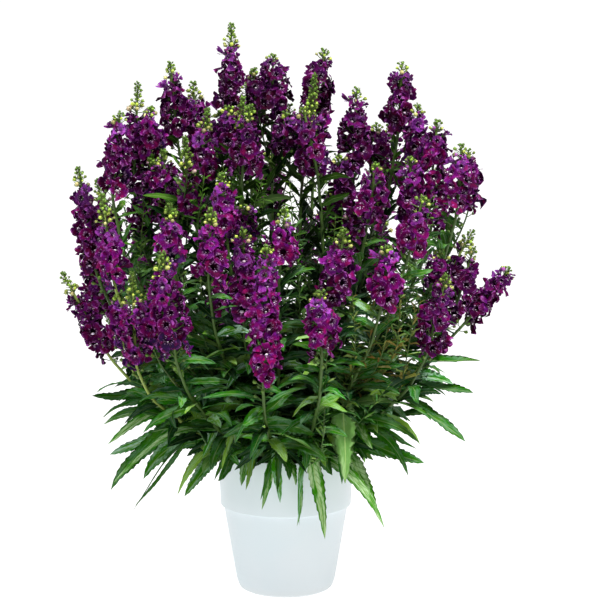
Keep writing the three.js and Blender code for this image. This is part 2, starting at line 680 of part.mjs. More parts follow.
// A leaf whose tip reaches a given point, with the direction that its sag asks for at the root.
function leafTo(root, tip, sag) {
  const chord = tip.clone().sub(root);
  const square = 1 - (sag * sag) / 4;
  const drop = sag * chord.z;
  const length = (drop + Math.sqrt(drop * drop + 4 * square * chord.lengthSq())) / (2 * square);
  const along = chord.addScaledVector(UP, 0.5 * sag * length).divideScalar(length);
  return leafAlong(root, along, length, sag, 0);
}

// A point of the leaf's midrib, t from 0 at the root to 1 at the tip.
function midrib(leaf, t) {
  return leaf.root
    .clone()
    .addScaledVector(leaf.along, leaf.length * t)
    .addScaledVector(UP, -0.5 * leaf.sag * leaf.length * t * t);
}

// The corners of a stem's side from the one that is lowest on the leaf's right, so that no leaf is twisted.
function levelled(quad, leaf, points) {
  const turned = quad.map((_, r) => quad.map((_, i) => quad[(i + r) % 4]));
  const width = (q) => {
    const [a, b, c, d] = q.map((i) => points[i].dot(leaf.side));
    return b + c - a - d;
  };
  return turned.reduce((best, q) => (width(q) > width(best) ? q : best));
}

// A leaf on one side of its stem: an arched blade, ridged above and straight across below, with teeth.
function addLeaf(leaf, quad, points, triangles) {
  const [lowRight, lowLeft, highLeft, highRight] = levelled(quad, leaf, points);
  const toothed = leaf.length >= TOOTHED_FROM;
  const edge = toothed ? TOOTHED_EDGE : PLAIN_EDGE;
  const keep = (p) => points.push(p) - 1;
  const normalAt = (t) => {
    const along = leaf.along.clone().addScaledVector(UP, -leaf.sag * t).normalize();
    return along.cross(leaf.side).normalize();
  };
  const ridgeAt = (t) => midrib(leaf, t).addScaledVector(normalAt(t), LEAF_THICKNESS);
  const rib = (toothed ? TOOTHED_RIB : PLAIN_RIB).map((t) => keep(ridgeAt(t)));
  const edgeAt = (t, across) => midrib(leaf, t).addScaledVector(leaf.side, across * leaf.halfWidth);
  const outline = (sign) => edge.map(([t, share]) => keep(edgeAt(t, sign * share)));
  const [left, right] = [outline(1), outline(-1)];
  const tip = keep(midrib(leaf, 1));
  triangles.push([highLeft, highRight, rib[0]]);
  const halfBlades = [[left, lowLeft, highLeft, true], [right, lowRight, highRight, false]];
  for (const [line, low, high, flip] of halfBlades) {
    const strip = [[high, low, line[0]], [high, line[0], rib[0]]];
    if (toothed) {
      strip.push([rib[0], line[0], line[1]]);
      strip.push([rib[0], line[1], rib[1]]);
      strip.push([rib[1], line[1], line[2]]);
    }
    strip.push([rib.at(-1), line.at(-1), tip]);
    triangles.push(...strip.map(([x, y, z]) => (flip ? [x, z, y] : [x, y, z])));
  }
  const [under, over] = [[lowLeft, ...left], [lowRight, ...right]];
  for (let i = 0; i + 1 < under.length; i++)
    triangles.push([under[i], under[i + 1], over[i + 1]], [under[i], over[i + 1], over[i]]);
  triangles.push([under.at(-1), tip, over.at(-1)]);
}

// Balls over a leaf that stand for the room it takes.
function leafRoom(leaf) {
  const balls = [];
  for (const [t, share] of LEAF_ROOM) {
    const half = share * leaf.halfWidth;
    for (const across of LEAF_ROOM_ACROSS) {
      const point = midrib(leaf, t).addScaledVector(leaf.side, across * half);
      balls.push({ point, radius: LEAF_LEAST_ROOM + LEAF_ROOM_SHARE * half });
    }
  }
  return balls;
}

// Everything that a leaf keeps clear of from the start: stems, florets and buds.
function plantRoom(stems) {
  const room = [];
  for (const stem of stems) {
    for (const { point } of stem.arc) room.push({ owner: stem.branch, point, radius: STEM_ROOM });
    const span = stem.low.distanceTo(stem.high);
    for (let height = FIRST_BLOOM; height <= span; height += BLOOM_PITCH) {
      const point = stem.low.clone().addScaledVector(stem.axis, height);
      const radius = height <= stem.bloom ? BLOOM_ROOM - BLOOM_TAPER * (height / stem.bloom) : BUD_ROOM;
      room.push({ owner: "bloom", point, radius });
    }
  }
  return room;
}

function isClear(leaf, room, branch) {
  for (const { point, radius } of leafRoom(leaf)) {
    const overRim = Math.hypot(point.x, point.y) < RIM_RADIUS + RIM_ROOM + RIM_SHARE * radius;
    if (overRim && point.z - radius < POT_HEIGHT + CLEAR) return false;
    for (const other of room) {
      if (other.owner === branch && other.point.distanceTo(leaf.root) < OWN_REACH) continue;
      if (point.distanceTo(other.point) < radius + other.radius + CLEAR) return false;
    }
  }
  return true;
}

// Puts a leaf on a stem at a height, turned as far as it takes to be clear, or leaves it out.
function settle(stem, height, dodges, room, makeLeaf) {
  const { point, along } = placeOn(stem, height);
  const node = stem.nodes.find((n) => Math.abs(n.height - height) < NODE_APART);
  if (node && node.height !== height) return;
  for (const dodge of dodges) {
    const leaf = makeLeaf(point, dodge);
    if (Math.abs(leaf.along.dot(along)) > LEAF_MAX_ALONG || !isClear(leaf, room, stem.branch)) continue;
    if (node) node.leaves.push(leaf);
    else stem.nodes.push({ height, leaves: [leaf] });
    for (const ball of leafRoom(leaf)) room.push({ owner: "leaf", ...ball });
    return;
  }
}

// The large leaves: the outer ones, then opposite pairs up each stem, each pair across the one below.
function placeLeaves(stems) {
  const room = plantRoom(stems);
  for (const [branch, number, height, tip, sag] of OUTER_LEAVES) {
    const stem = stems.find((s) => s.branch === branch && s.number === number);
    settle(stem, height, OUTER_DODGES, room, (root, dodge) => {
      const reach = vec(tip).sub(root).applyAxisAngle(UP, radians(dodge));
      return leafTo(root, reach.add(root), sag);
    });
  }
  for (const stem of stems) {
    const total = stem.arc.at(-1).length;
    for (let pair = 0; FIRST_NODE + pair * NODE_PITCH < total - TOP_CLEARANCE; pair++) {
      const height = FIRST_NODE + pair * NODE_PITCH;
      for (const member of [0, 1]) {
        const { azimuth, outward, elevation, length, sag, roll } = spreadOf(stem, pair, member, height);
        if (length < LARGE_LEAF || outward < LEAST_OUTWARD) continue;
        const makeLeaf = (root, dodge) => leafAt(root, azimuth + dodge, elevation, length, sag, roll);
        settle(stem, height, DODGES, room, makeLeaf);
      }
    }
  }
}

// How a leaf of the pair at one node of a stem stands, before it is turned clear of what is near.
function spreadOf(stem, pair, member, height) {
  const jitter = (n) => draw(stem.serial * 60 + pair * 2 + member, 20 + n) - 0.5;
  const root = placeOn(stem, height).point;
  const rise = clamp((root.z - SOIL_TOP) / RISE, 0, 1);
  const between = ({ low, high, range }, n) => lerp(low, high, rise) + range * jitter(n);
  const age = lerp(height / stem.arc.at(-1).length, rise, LEAF_RISE_SHARE);
  const azimuth = stem.serial * STEM_TURN + pair * 90 + member * 180 + AZIMUTH_RANGE * jitter(1);
  return {
    azimuth,
    outward: Math.cos(radians(azimuth) - Math.atan2(root.y, root.x)),
    elevation: between(ELEVATION, 3),
    length: lerp(LEAF_LENGTH, LEAF_TOP_LENGTH, age) * (1 + LEAF_LENGTH_RANGE * jitter(2)),
    sag: between(SAG, 4),
    roll: ROLL_RANGE * jitter(5),
  };
}

// Assembly

function meshOf(name, geometry, look) {
  const mesh = new THREE.Mesh(geometry, new THREE.MeshStandardMaterial(COLOURS[look]));
  mesh.name = name;
  return mesh;
}

const stems = [];
for (const [branch, { crown, racemes }] of Object.entries(BRANCHES))
  racemes.forEach((raceme, number) => stems.push(makeStem(branch, number, stems.length, crown, raceme)));

const plant = new THREE.Group();
plant.add(meshOf("pot", geometryFrom(potSolid()), "pot"));
plant.add(meshOf("soil", geometryFrom(soilSolid()), "soil"));

placeLeaves(stems);
for (const [branch, { crown }] of Object.entries(BRANCHES)) {
  const grown = stems.filter((stem) => stem.branch === branch).map((stem) => solidOf(stemGeometry(stem)));
  const joined = wasm.Manifold.union([crownBody(crown, 0), ...grown]);
  plant.add(meshOf("stems_" + branch, geometryFrom(mainBody(joined)), "foliage"));
}
for (const stem of stems) {
  const name = "raceme_" + String(stem.serial + 1).padStart(2, "0");
  plant.add(meshOf(name, racemeGeometry(stem), "florets"));
}

export default plant;
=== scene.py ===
"""The looks of a potted angelonia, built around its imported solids.

Lengths are in millimetres until a mesh is made, which turns them into metres. The stems and the large leaves
follow the same rules as the solids do, so that each fine piece lies where its solid does.
"""

import math
from types import SimpleNamespace

import bpy
import numpy as np
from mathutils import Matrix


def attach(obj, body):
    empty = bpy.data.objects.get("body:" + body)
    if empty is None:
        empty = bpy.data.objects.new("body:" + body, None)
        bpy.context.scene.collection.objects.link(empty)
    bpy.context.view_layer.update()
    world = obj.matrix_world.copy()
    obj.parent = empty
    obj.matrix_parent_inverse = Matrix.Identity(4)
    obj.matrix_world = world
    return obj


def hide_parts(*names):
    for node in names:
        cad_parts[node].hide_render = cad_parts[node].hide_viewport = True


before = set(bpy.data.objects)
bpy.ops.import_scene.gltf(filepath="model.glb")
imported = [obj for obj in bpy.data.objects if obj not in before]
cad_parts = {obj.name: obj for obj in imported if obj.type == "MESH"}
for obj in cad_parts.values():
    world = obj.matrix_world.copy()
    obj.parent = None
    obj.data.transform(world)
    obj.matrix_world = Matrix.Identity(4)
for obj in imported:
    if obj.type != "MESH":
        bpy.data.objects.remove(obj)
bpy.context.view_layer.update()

METRES = 0.001

# Pot and soil
POT_HEIGHT = 158
RIM_RADIUS = 75.5
COLLAR_HEIGHT = 62
COLLAR_FOOT = POT_HEIGHT - COLLAR_HEIGHT
COLLAR_FOOT_RADIUS = 72.5
COLLAR_STEP = 3.5
HEEL_RADIUS = 54.5
HEEL_HEIGHT = 11
BASE_RADIUS = 45
WALL = 2.2
FLOOR = 3
DRAIN_HOLES = 5
DRAIN_RADIUS = 4.5
DRAIN_CIRCLE = 32
SOIL_TOP = 146
SOIL_GAP = 0.6
CROWN_RADIUS = 4
CROWN_DEPTH = 12
CROWN_RISE = 8
CROWN_SIDES = 12
CROWN_RINGS = 9
POT_SIDES = 96
SOIL_SIDES = 72
SOIL_SHOULDER = 16
SOIL_LUMPS = 240

# Stems
STEM_BASE_RADIUS = 2.4
STEM_FOOT_RADIUS = 1.6
STEM_BLOOM_RADIUS = 1.4
STEM_TIP_RADIUS = 0.5
STEM_BANDS = 3
BAND_STEPS = 20
STEM_BEND = 0.25
STEM_STEP = 7
STEM_SIDES = 6
NODE_SWELL = 0.3
PALE_STEMS = [("front_left", 0), ("front_left", 1), ("left", 1), ("right", 1)]

# Florets: the throat as radii and depths, the lobes from the lowest one on
FLORET_RISE = 3.4
GOLDEN_ANGLE = 137.5
FLORET_RADIUS = 12.6
FLORET_TOP_RADIUS = 8.2
FLORET_REACH = 17.2
FLORET_TOP_REACH = 8.0
FOOT_REACH = 0.6
FOOT_SHARE = 0.3
FLORET_FORMS = 12
YOUNG_FORMS = 4
THROAT = [(0.12, -0.42), (0.22, -0.27), (0.31, 0.02)]
THROAT_SIDES = 10
LOBE_CENTRES = np.radians([270, 340, 52, 128, 200])
LOBE_REACHES = [1.08, 1.0, 0.90, 0.90, 1.0]
LOBE_ROWS = np.array([0.0, 0.28, 0.58, 0.84, 1.0])
LOBE_COLUMNS = 5
LOBE_FOOT = 0.27
FLORET_NODS = (2, 30)
FLORET_DEPTH = 0.66
INNER_SHARE = 0.3
INNER_REACH = 0.62
YOUNG_FROM = 0.88
CALLUS_SWELLS = (0.35, 1.9)
CALLUS_FORM = [0.12, 0.07, 0.10]
# Painted light: florets lighter at the front and darker behind, between these depths
FRONT_DEPTHS = (-150, 20)
PAINTED_FRONT_LIGHT = (0.12, -0.18)
CALYX_SIZE = 2.9
STALK_RADIUS = 0.5

# Buds and their bracts, from the lowest to the tip, and the seed capsules below the florets
BUD_PITCHES = (1.35, 0.62)
BUD_RADII = (2.2, 1.0)
BUD_REACHES = (8.6, 1.6)
BUD_RISES = (3.5, 1.6)
BUD_STALKS = (0.5, 0.3)
BUD_FORM = [1.0, 1.0, 1.25]
BRACT_LENGTHS = (9.5, 4.5)
CAPSULE_PITCH = 3.4
CAPSULE_REACH = 7.5
CAPSULE_FORM = [1.7, 1.7, 2.2]
CAPSULE_CALYX = 2.4
CAPSULE_STALK = 0.45

# Leaves that the solids have too
LEAF_LENGTH = 84
LEAF_TOP_LENGTH = 34
LEAF_SLENDERNESS = 8.6
MAX_HALF_WIDTH = 10
LEAF_LEAN = 35
LEAN_REACH = 30
NODE_PITCH = 29
FIRST_NODE = 16
TOP_CLEARANCE = 16
LARGE_LEAF = 57
LEAST_OUTWARD = 0.25
LEAF_RISE = 220
LEAF_ANGLES = (8, 38)
LEAF_SAGS = (0.55, 0.35)
CLEAR = 2
RIM_CLEAR = 2.5
STEM_ROOM = 2.6
BLOOM_ROOM = 24
BLOOM_TAPER = 7
BUD_ROOM = 7
NODE_HALF_HEIGHT = 2
LEAF_MAX_ALONG = 0.77
OWN_REACH = 13
DODGES = [0, 18, -18, 36, -36, 55, -55]
OUTER_DODGES = [0, 5, -5, 10, -10, 16, -16]
SMALL_DODGES = [0, 30, -30, 60, -60]
ROOM_STEPS = [(0.2, 0.55), (0.34, 0.95), (0.5, 0.75), (0.64, 0.7), (0.8, 0.4), (1, 0.1)]
ROOM_ACROSS = [-0.65, 0, 0.65]

# Small leaves between them
SMALL_PITCH = 5.7
SMALL_FIRST = 9
SMALL_LENGTH = 62
SMALL_TOP_LENGTH = 34
SMALL_MOST = 58
SMALL_SLENDERNESS = 7.5
SMALL_TOP_SLENDERNESS = 11.5
SMALL_LOWEST = 152
SMALL_RISE = 260
SMALL_ANGLES = (5, 42)
SMALL_SAGS = (0.6, 0.35)
SMALL_OVER_RIM = 4
SMALL_INSIDE_RIM = 7
SMALL_OUTSIDE_RIM = 5
SMALL_OVER_SOIL = 3
BLOOM_OVERLAP = 0.62
LEAF_THICKNESS = 0.4
MIDRIB_THICKNESS = 0.9
TOOTH = 0.13
BLADE_WIDEST = 0.42
BLADE_TAPER = 0.88

# Leaf lengths from and to, and the teeth, columns and second layer of such a leaf
LEAF_GRADES = [
    (0, 26, 1, 3, False),
    (26, 42, 3, 3, False),
    (42, LARGE_LEAF, 4, 5, False),
    (LARGE_LEAF, 200, 11, 5, True),
]

# Names of the numbers at each point, for the materials
STALK_MARKS = ("age", "tint", "along", "across")
LEAF_MARKS = ("along", "across", "under", "tint", "age", "shade", "dry")
FLORET_MARKS = ("radial", "lobe", "tint", "age", "shade")

# Leaves of the photo's front in no solid: branch, raceme, millimetres up its stem, tip, sag, half width, tint
FRONT_LEAVES = [
    ("front_right", 2, 122, [63, -150, 160], 1.3, 12, 0.99),
    ("front_right", 0, 32, [110, -122, 114], 0.7, 7, 0.97),
    ("front", 0, 186, [-51, -190, 203], 1.2, 8.5, 0.62),
    ("front", 0, 196, [-86, -185, 252], 0.25, 4.5, 0.45),
    ("front", 0, 190, [25, -195, 264], 0.1, 3.5, 0.55),
    ("front", 0, 168, [-34, -170, 172], 1.2, 6, 0.42),
    ("inner_left", 0, 95, [-66, -120, 159], 1.1, 4.5, 0.88),
    ("front", 1, 70, [-4, -135, 135], 1.1, 5.5, 0.30),
    ("front_right", 0, 64, [13, -128, 106], 1.3, 2.2, 0.95),
    ("front_right", 2, 80, [142, -115, 187], 0.6, 9, 0.50),
    ("front_left", 1, 90, [-166, -85, 113], 0.5, 2, 0.35),
    ("front_left", 2, 70, [-117, -120, 136], 1.1, 8, 0.86),
    ("inner_left", 0, 50, [-74, -112, 149], 0.9, 5, 0.40),
    ("inner_left", 0, 42, [-45, -115, 141], 0.9, 5, 0.86),
    ("front", 0, 48, [-25, -118, 128], 1.0, 3, 0.50),
    ("right_front", 0, 84, [135, -95, 159], 0.7, 7, 0.45),
    ("front_left", 2, 100, [-184, -120, 157], 0.7, 6.5, 0.97),
    ("front_left", 0, 100, [-189, -110, 190], 0.5, 7, 0.98),
    ("front_left", 1, 120, [-190, -115, 215], 0.4, 6, 0.50),
    ("right_front", 1, 80, [118, -110, 263], 0.1, 3.5, 0.92),
    ("front_right", 0, 205, [5, -215, 280], 0.3, 3.5, 0.60),
    ("front_right", 0, 200, [63, -215, 258], 0.5, 4, 0.75),
    ("front_right", 0, 186, [17, -205, 244], 0.4, 3.5, 0.92),
    ("front_right", 0, 176, [64, -190, 234], 0.8, 4, 0.80),
    ("front_right", 0, 192, [8, -185, 232], 0.9, 3.5, 0.90),
    ("top_right", 3, 236, [58, 0, 437], 0.3, 4.2, 0.25),
    ("top_right", 3, 228, [50, -40, 420], 0.3, 4.6, 0.45),
    ("top_right", 3, 216, [52, -55, 406], 0.3, 4.6, 0.20),
    ("front", 1, 236, [32, -145, 385], 0.2, 4.0, 0.70),
    ("front", 2, 266, [-1, -90, 440], 0.3, 4.8, 0.22),
    ("top_right", 3, 190, [-25, -40, 373], 0.4, 4.6, 0.30),
    ("front_right", 3, 205, [70, -90, 379], 0.4, 4.8, 0.40),
    ("front_right", 3, 180, [5, -90, 339], 0.5, 5.2, 0.28),
    ("front_right", 3, 165, [68, -95, 333], 0.5, 5.4, 0.50),
]

# How the long leaves bend, how slim some are, and their tints; leaves with the sheen tints get painted sheen
# patches
FRONT_ARCH = 0.06
OUTER_ARCHES = (-0.06, 0.03)
SIDEWAYS_DROOP = 0.10
SLIM_LEAVES = {("front_left", 1, 100): 0.35, ("front_right", 0, 46): 0.4}
OUTER_TINTS = (0.30, 0.68)
SHEEN_SHARE = 0.4
SHEEN_TINTS = (0.955, 0.98)

# How wide a raceme is beside the others
RACEME_WIDTHS = {
    ("left", 0): 0.68, ("left", 1): 0.72, ("left", 2): 0.8, ("left", 3): 0.68,
    ("front_left", 0): 0.74, ("right", 0): 0.62, ("right", 1): 0.5, ("right", 2): 0.92, ("front", 2): 0.85,
    ("inner_left", 0): 0.85, ("inner_left", 1): 0.82, ("front_right", 2): 0.8, ("right_front", 0): 1.05,
    ("top_left", 0): 0.78, ("top_left", 2): 1.15, ("top_right", 0): 0.9, ("front", 0): 0.78,
}

# Racemes with fewer florets than the others
SPARSE_RACEMES = {("right", 1): 0.5, ("front_left", 1): 0.85, ("left", 1): 0.85}

# Where each branch stands in the soil, and its racemes: lowest floret, tip, and the buds' share of it
BRANCHES = {
    "left": ([-34, -4], [
        ([-206, -25, 357], [-225, -20, 475], 0.22),
        ([-190, -50, 269], [-240, -58, 364], 0.28),
        ([-166, -5, 448], [-160, 0, 565], 0.31),
        ([-186, -54, 449], [-176, -50, 536], 0.18),
    ]),
    "front_left": ([-28, -24], [
        ([-180, -100, 352], [-193, -97, 454], 0.36),
        ([-157, -125, 273], [-160, -125, 374], 0.38),
        ([-113, -167, 288], [-125, -167, 401], 0.21),
        ([-116, -130, 385], [-120, -126, 446], 0.38),
    ]),
    "inner_left": ([-15, -11], [
        ([-79, -160, 368], [-76, -155, 445], 0.31),
        ([-60, -110, 395], [-67, -105, 477], 0.24),
        ([-96, -55, 451], [-82, -50, 540], 0.32),
        ([-127, -35, 416], [-132, -30, 494], 0.25),
    ]),
    "front": ([-4, -34], [
        ([-22, -205, 269], [-17, -192, 411], 0.1),
        ([-5, -144, 384], [1, -140, 445], 0.38),
        ([-46, -80, 466], [-37, -75, 546], 0.26),
    ]),
    "front_right": ([15, -30], [
        ([38, -210, 296], [36, -204, 366], 0.19),
        ([51, -155, 346], [62, -148, 423], 0.29),
        ([101, -156, 345], [107, -150, 404], 0.19),
        ([35, -60, 469], [19, -55, 541], 0.15),
    ]),
    "right_front": ([31, -19], [
        ([149, -105, 279], [171, -100, 368], 0.2),
        ([129, -120, 388], [145, -115, 453], 0.2),
        ([85, -100, 411], [96, -95, 486], 0.18),
    ]),
    "right": ([36, 1], [
        ([199, 0, 301], [247, 5, 360], 0.14),
        ([168, -30, 341], [204, -25, 406], 0.37),
        ([183, -64, 425], [188, -60, 503], 0.22),
        ([158, 0, 439], [166, 5, 524], 0.18),
    ]),
    "top_right": ([14, 3], [
        ([124, 30, 504], [128, 35, 585], 0.18),
        ([73, 5, 463], [78, 10, 558], 0.18),
        ([104, 67, 465], [101, 72, 515], 0.27),
        ([28, 0, 532], [43, 0, 600], 0.19),
    ]),
    "top_left": ([-11, 10], [
        ([-62, 20, 522], [-59, 20, 628], 0.28),
        ([-119, 16, 501], [-126, 20, 586], 0.23),
        ([-15, 42, 516], [-14, 45, 592], 0.12),
        ([-95, 85, 475], [-105, 90, 560], 0.25),
        ([-42, 115, 475], [-45, 125, 560], 0.22),
    ]),
    "back_right": ([19, 27], [
        ([32, 102, 490], [35, 110, 575], 0.2),
        ([110, 130, 430], [120, 140, 510], 0.25),
        ([163, 88, 385], [175, 95, 465], 0.22),
        ([22, 200, 325], [25, 215, 405], 0.2),
        ([105, 180, 320], [115, 195, 400], 0.28),
        ([190, 98, 290], [215, 110, 370], 0.24),
    ]),
    "back_left": ([-15, 30], [
        ([-18, 185, 395], [-20, 195, 480], 0.24),
        ([-88, 172, 365], [-95, 185, 445], 0.2),
        ([-138, 120, 405], [-150, 130, 490], 0.26),
        ([-158, 135, 305], [-175, 150, 385], 0.22),
        ([-200, 72, 290], [-228, 82, 370], 0.26),
        ([-194, 42, 362], [-210, 47, 454], 0.3),
    ]),
}

# The long outer leaves: branch, raceme, millimetres up its stem, tip, and how much the blade sags
OUTER_LEAVES = [
    ("left", 0, 150, [-207, -45, 257], 0.4),
    ("left", 0, 130, [-212, -40, 226], 0.45),
    ("left", 0, 105, [-192, -55, 202], 0.5),
    ("front_left", 1, 115, [-190, -80, 178], 0.6),
    ("left", 1, 78, [-162, -75, 155], 0.7),
    ("front_left", 1, 130, [-186, -100, 142], 0.7),
    ("front_left", 1, 100, [-160, -100, 115], 0.8),
    ("front_left", 1, 50, [-117, -100, 131], 0.7),
    ("front_left", 2, 50, [-75, -108, 147], 0.6),
    ("front_left", 3, 90, [-88, -110, 178], 0.8),
    ("inner_left", 0, 60, [-45, -108, 138], 0.8),
    ("inner_left", 0, 95, [-55, -115, 192], 0.9),
    ("front", 1, 90, [-32, -125, 170], 0.9),
    ("front", 0, 46, [-26, -112, 122], 0.9),
    ("front", 0, 76, [-6, -128, 128], 0.9),
    ("front_right", 0, 46, [12, -108, 97], 1),
    ("front_right", 0, 76, [42, -120, 92], 1),
    ("front_right", 1, 92, [16, -125, 180], 0.9),
    ("front_right", 2, 110, [62, -132, 155], 1),
    ("right_front", 1, 90, [90, -112, 180], 0.8),
    ("right_front", 0, 46, [103, -98, 108], 0.9),
    ("right_front", 0, 56, [132, -95, 157], 0.6),
    ("right_front", 0, 66, [150, -75, 160], 0.5),
    ("right_front", 0, 92, [144, -75, 175], 0.5),
    ("right", 0, 110, [200, -40, 178], 0.6),
    ("right", 0, 130, [203, -40, 235], 0.4),
    ("right", 1, 150, [213, -25, 265], 0.35),
    ("right", 1, 130, [183, -62, 256], 0.4),
    ("right", 0, 72, [162, -45, 212], 0.45),
    ("back_right", 5, 70, [155, 85, 150], 0.7),
    ("back_right", 4, 60, [95, 125, 120], 0.8),
    ("back_right", 3, 50, [45, 130, 105], 0.9),
    ("back_right", 3, 80, [0, 135, 110], 0.9),
    ("back_left", 1, 60, [-45, 130, 115], 0.9),
    ("back_left", 3, 60, [-105, 120, 120], 0.8),
    ("back_left", 4, 70, [-150, 80, 135], 0.7),
    ("back_left", 4, 100, [-190, 60, 165], 0.6),
]

# Side shoots with florets or buds: branch and raceme of the parent, lowest floret, tip, buds' share
SIDE_GIRTH = 0.5
SIDE_DROP = 70
SIDE_WIDTH = 0.75
SIDE_SERIAL = 60
SIDE_SHOOTS = [
    ("top_left", 0, [-71, 60, 465], [-73, 60, 530], 0.2),
    ("top_left", 2, [-30, 30, 530], [-35, 30, 578], 0.25),
    ("top_left", 2, [5, 60, 474], [4, 60, 536], 0.2),
    ("top_right", 1, [62, -10, 428], [57, -10, 487], 0.2),
    ("top_right", 0, [137, -20, 397], [135, -20, 486], 0.15),
    ("inner_left", 1, [-43, -150, 325], [-43, -150, 423], 0.15),
    ("front_left", 3, [-125, -145, 311], [-132, -145, 383], 0.25),
    ("right", 2, [200, -30, 440], [197, -30, 494], 0.2),
    ("top_right", 0, [142, 20, 470], [145, 20, 540], 0.2),
    ("left", 2, [-146, -20, 482], [-146, -20, 540], 0.25),
    ("left", 2, [-157, -20, 399], [-154, -20, 457], 0.25),
    ("left", 2, [-146, -30, 436], [-143, -30, 483], 0.2),
    ("inner_left", 3, [-62, -40, 492], [-61, -40, 542], 0.25),
    ("inner_left", 3, [-105, -50, 422], [-105, -50, 465], 0.2),
    ("inner_left", 0, [-73, -140, 328], [-61, -140, 366], 0.15),
    ("front", 2, [-3, -25, 491], [1, -25, 534], 0.25),
    ("front", 2, [-43, -95, 399], [-41, -95, 441], 0.2),
    ("top_right", 3, [25, -30, 512], [32, -30, 576], 1.0),
    ("top_right", 1, [49, 0, 397], [53, 0, 446], 0.2),
    ("top_right", 3, [70, -40, 380], [73, -40, 428], 0.2),
    ("left", 1, [-172, -95, 288], [-176, -95, 346], 0.2),
    ("front_left", 2, [-139, -130, 296], [-143, -130, 352], 0.2),
    ("front", 2, [-49, -40, 507], [-45, -40, 552], 1.0),
    ("inner_left", 3, [-104, -70, 470], [-106, -72, 512], 1.0),
    ("right", 1, [160, -72, 345], [166, -72, 390], 0.25),
]

# Thin shoots with narrow leaves: branch and raceme of the parent, foot, tip, how dry
TWIG_GIRTH = 0.35
TWIG_PITCH = 2.6
TWIG_LENGTHS = (22, 10)
TWIG_SLENDERNESS = 11
TWIG_SERIAL = 90
TWIG_ANGLE = 38
TWIG_TINTS = (0.35, 0.95)
# Painted light on the twig leaves, brightest at the twig's tip
TWIG_LIGHT = 0.85
TWIGS = [
    ("front_right", 2, [76, -112, 207], [114, -130, 260], 0.0),
    ("right_front", 2, [74, -150, 296], [70, -150, 359], 0.7),
    ("right_front", 2, [88, -150, 301], [97, -150, 377], 1.0),
    ("right_front", 1, [103, -145, 295], [111, -145, 347], 1.0),
    ("right_front", 1, [118, -140, 299], [122, -140, 380], 0.9),
    ("right_front", 0, [131, -130, 303], [139, -130, 356], 0.8),
    ("front_right", 1, [40, -165, 205], [44, -160, 300], 0.2),
    ("front_right", 2, [70, -128, 250], [76, -120, 335], 0.5),
    ("right", 1, [150, -60, 270], [178, -55, 345], 0.3),
    ("front_right", 3, [10, -70, 395], [4, -62, 470], 0.1),
    ("front", 2, [-30, -85, 372], [-22, -78, 452], 0.1),
    ("inner_left", 2, [-92, -60, 362], [-90, -55, 440], 0.1),
    ("left", 3, [-158, -45, 362], [-152, -42, 440], 0.2),
    ("front_left", 3, [-118, -125, 300], [-104, -120, 372], 0.2),
    ("top_left", 0, [-50, 0, 420], [-52, 0, 500], 0.1),
    ("top_right", 1, [48, -20, 372], [44, -15, 452], 0.1),
    ("top_right", 2, [96, 20, 402], [104, 30, 476], 0.1),
    ("right", 3, [150, -20, 372], [158, -15, 440], 0.2),
    ("left", 2, [-172, -20, 380], [-175, -20, 450], 0.1),
    ("left", 3, [-129, -60, 335], [-134, -60, 410], 0.2),
    ("front", 1, [16, -110, 330], [12, -105, 411], 0.1),
    ("front_right", 3, [48, -80, 348], [54, -75, 430], 0.2),
    ("inner_left", 1, [-84, -130, 300], [-89, -130, 377], 0.1),
    ("front", 2, [-31, -62, 402], [-25, -60, 464], 0.0),
    ("front", 1, [10, -20, 384], [16, -20, 438], 0.0),
    ("top_right", 3, [35, -25, 366], [40, -20, 425], 0.1),
    ("top_right", 1, [59, -20, 390], [64, -20, 449], 0.0),
    ("back_right", 1, [105, 120, 350], [118, 128, 425], 0.2),
    ("back_right", 0, [22, 110, 400], [26, 118, 480], 0.2),
    ("back_left", 1, [-90, 160, 292], [-98, 170, 368], 0.2),
    ("back_left", 2, [-128, 110, 330], [-136, 118, 410], 0.2),
    ("right_front", 1, [127, -100, 325], [132, -100, 388], 0.3),
    ("right", 1, [146, -60, 332], [154, -60, 388], 0.2),
    ("right", 2, [166, -50, 336], [174, -50, 392], 0.1),
    ("right_front", 1, [135, -80, 346], [141, -80, 402], 0.1),
    ("front", 2, [-44, -92, 418], [-66, -97, 484], 0.0),
    ("inner_left", 2, [-94, -72, 412], [-85, -76, 474], 0.0),
    ("front", 2, [-38, -88, 424], [-22, -90, 474], 0.0),
]

# Height and half width of the bush, to tell its inside
BUSH_PROFILE = [(150, 105), (230, 180), (400, 205), (500, 150), (600, 55)]
BUSH_SIDE = 240

# Light and camera, with their places in metres
HORIZON_LIGHT = 1.0
SKY_LIGHT = 0.4
HORIZON_BAND = (0.04, 0.22)
LIGHT_AIM = (0, 0, 0.3)
LAMPS = {  # place, size, power and colour
    "key": ((0.7, -1.0, 3.0), 0.9, 120, (1.0, 0.99, 0.97)),
    "fill": ((-2.2, -1.2, 1.4), 1.2, 12, (0.94, 0.97, 1.0)),
}
FLOOR_GLOW = 0.92
FLOOR_REACH = 60000
CAMERA_PLACE = (0.0158, -2.600, 0.720)
CAMERA_TILT = 8.63
CAMERA_LENS = 143.28

UP = np.array([0.0, 0.0, 1.0])


# Small helpers


def draw(a, b):
    """A repeatable draw between 0 and 1 for two numbers, or for arrays of them."""
    s = np.sin(np.asarray(a, float) * 12.9898 + np.asarray(b, float) * 78.233) * 43758.5453
    return s - np.floor(s)


def jitters(seeds, first, count):
    """Draws from -0.5 to 0.5 for the seeds, one row for each number from the first on."""
    numbers = first + np.arange(count)
    return draw(seeds, numbers.reshape(-1, *[1] * np.ndim(seeds))) - 0.5


def lerp(a, b, t):
    return a + (b - a) * t


def unit(v):
    v = np.asarray(v, float)
    return v / np.linalg.norm(v, axis=-1, keepdims=True)


def column(values):
    return np.asarray(values, float)[..., None]


def smooth_step(low, high, x):
    t = np.clip((x - low) / (high - low), 0, 1)
    return t * t * (3 - 2 * t)


def turned(v, axis, degrees):
    """A vector turned about a unit axis."""
    a = math.radians(degrees)
    return v * math.cos(a) + np.cross(axis, v) * math.sin(a) + axis * np.dot(axis, v) * (1 - math.cos(a))


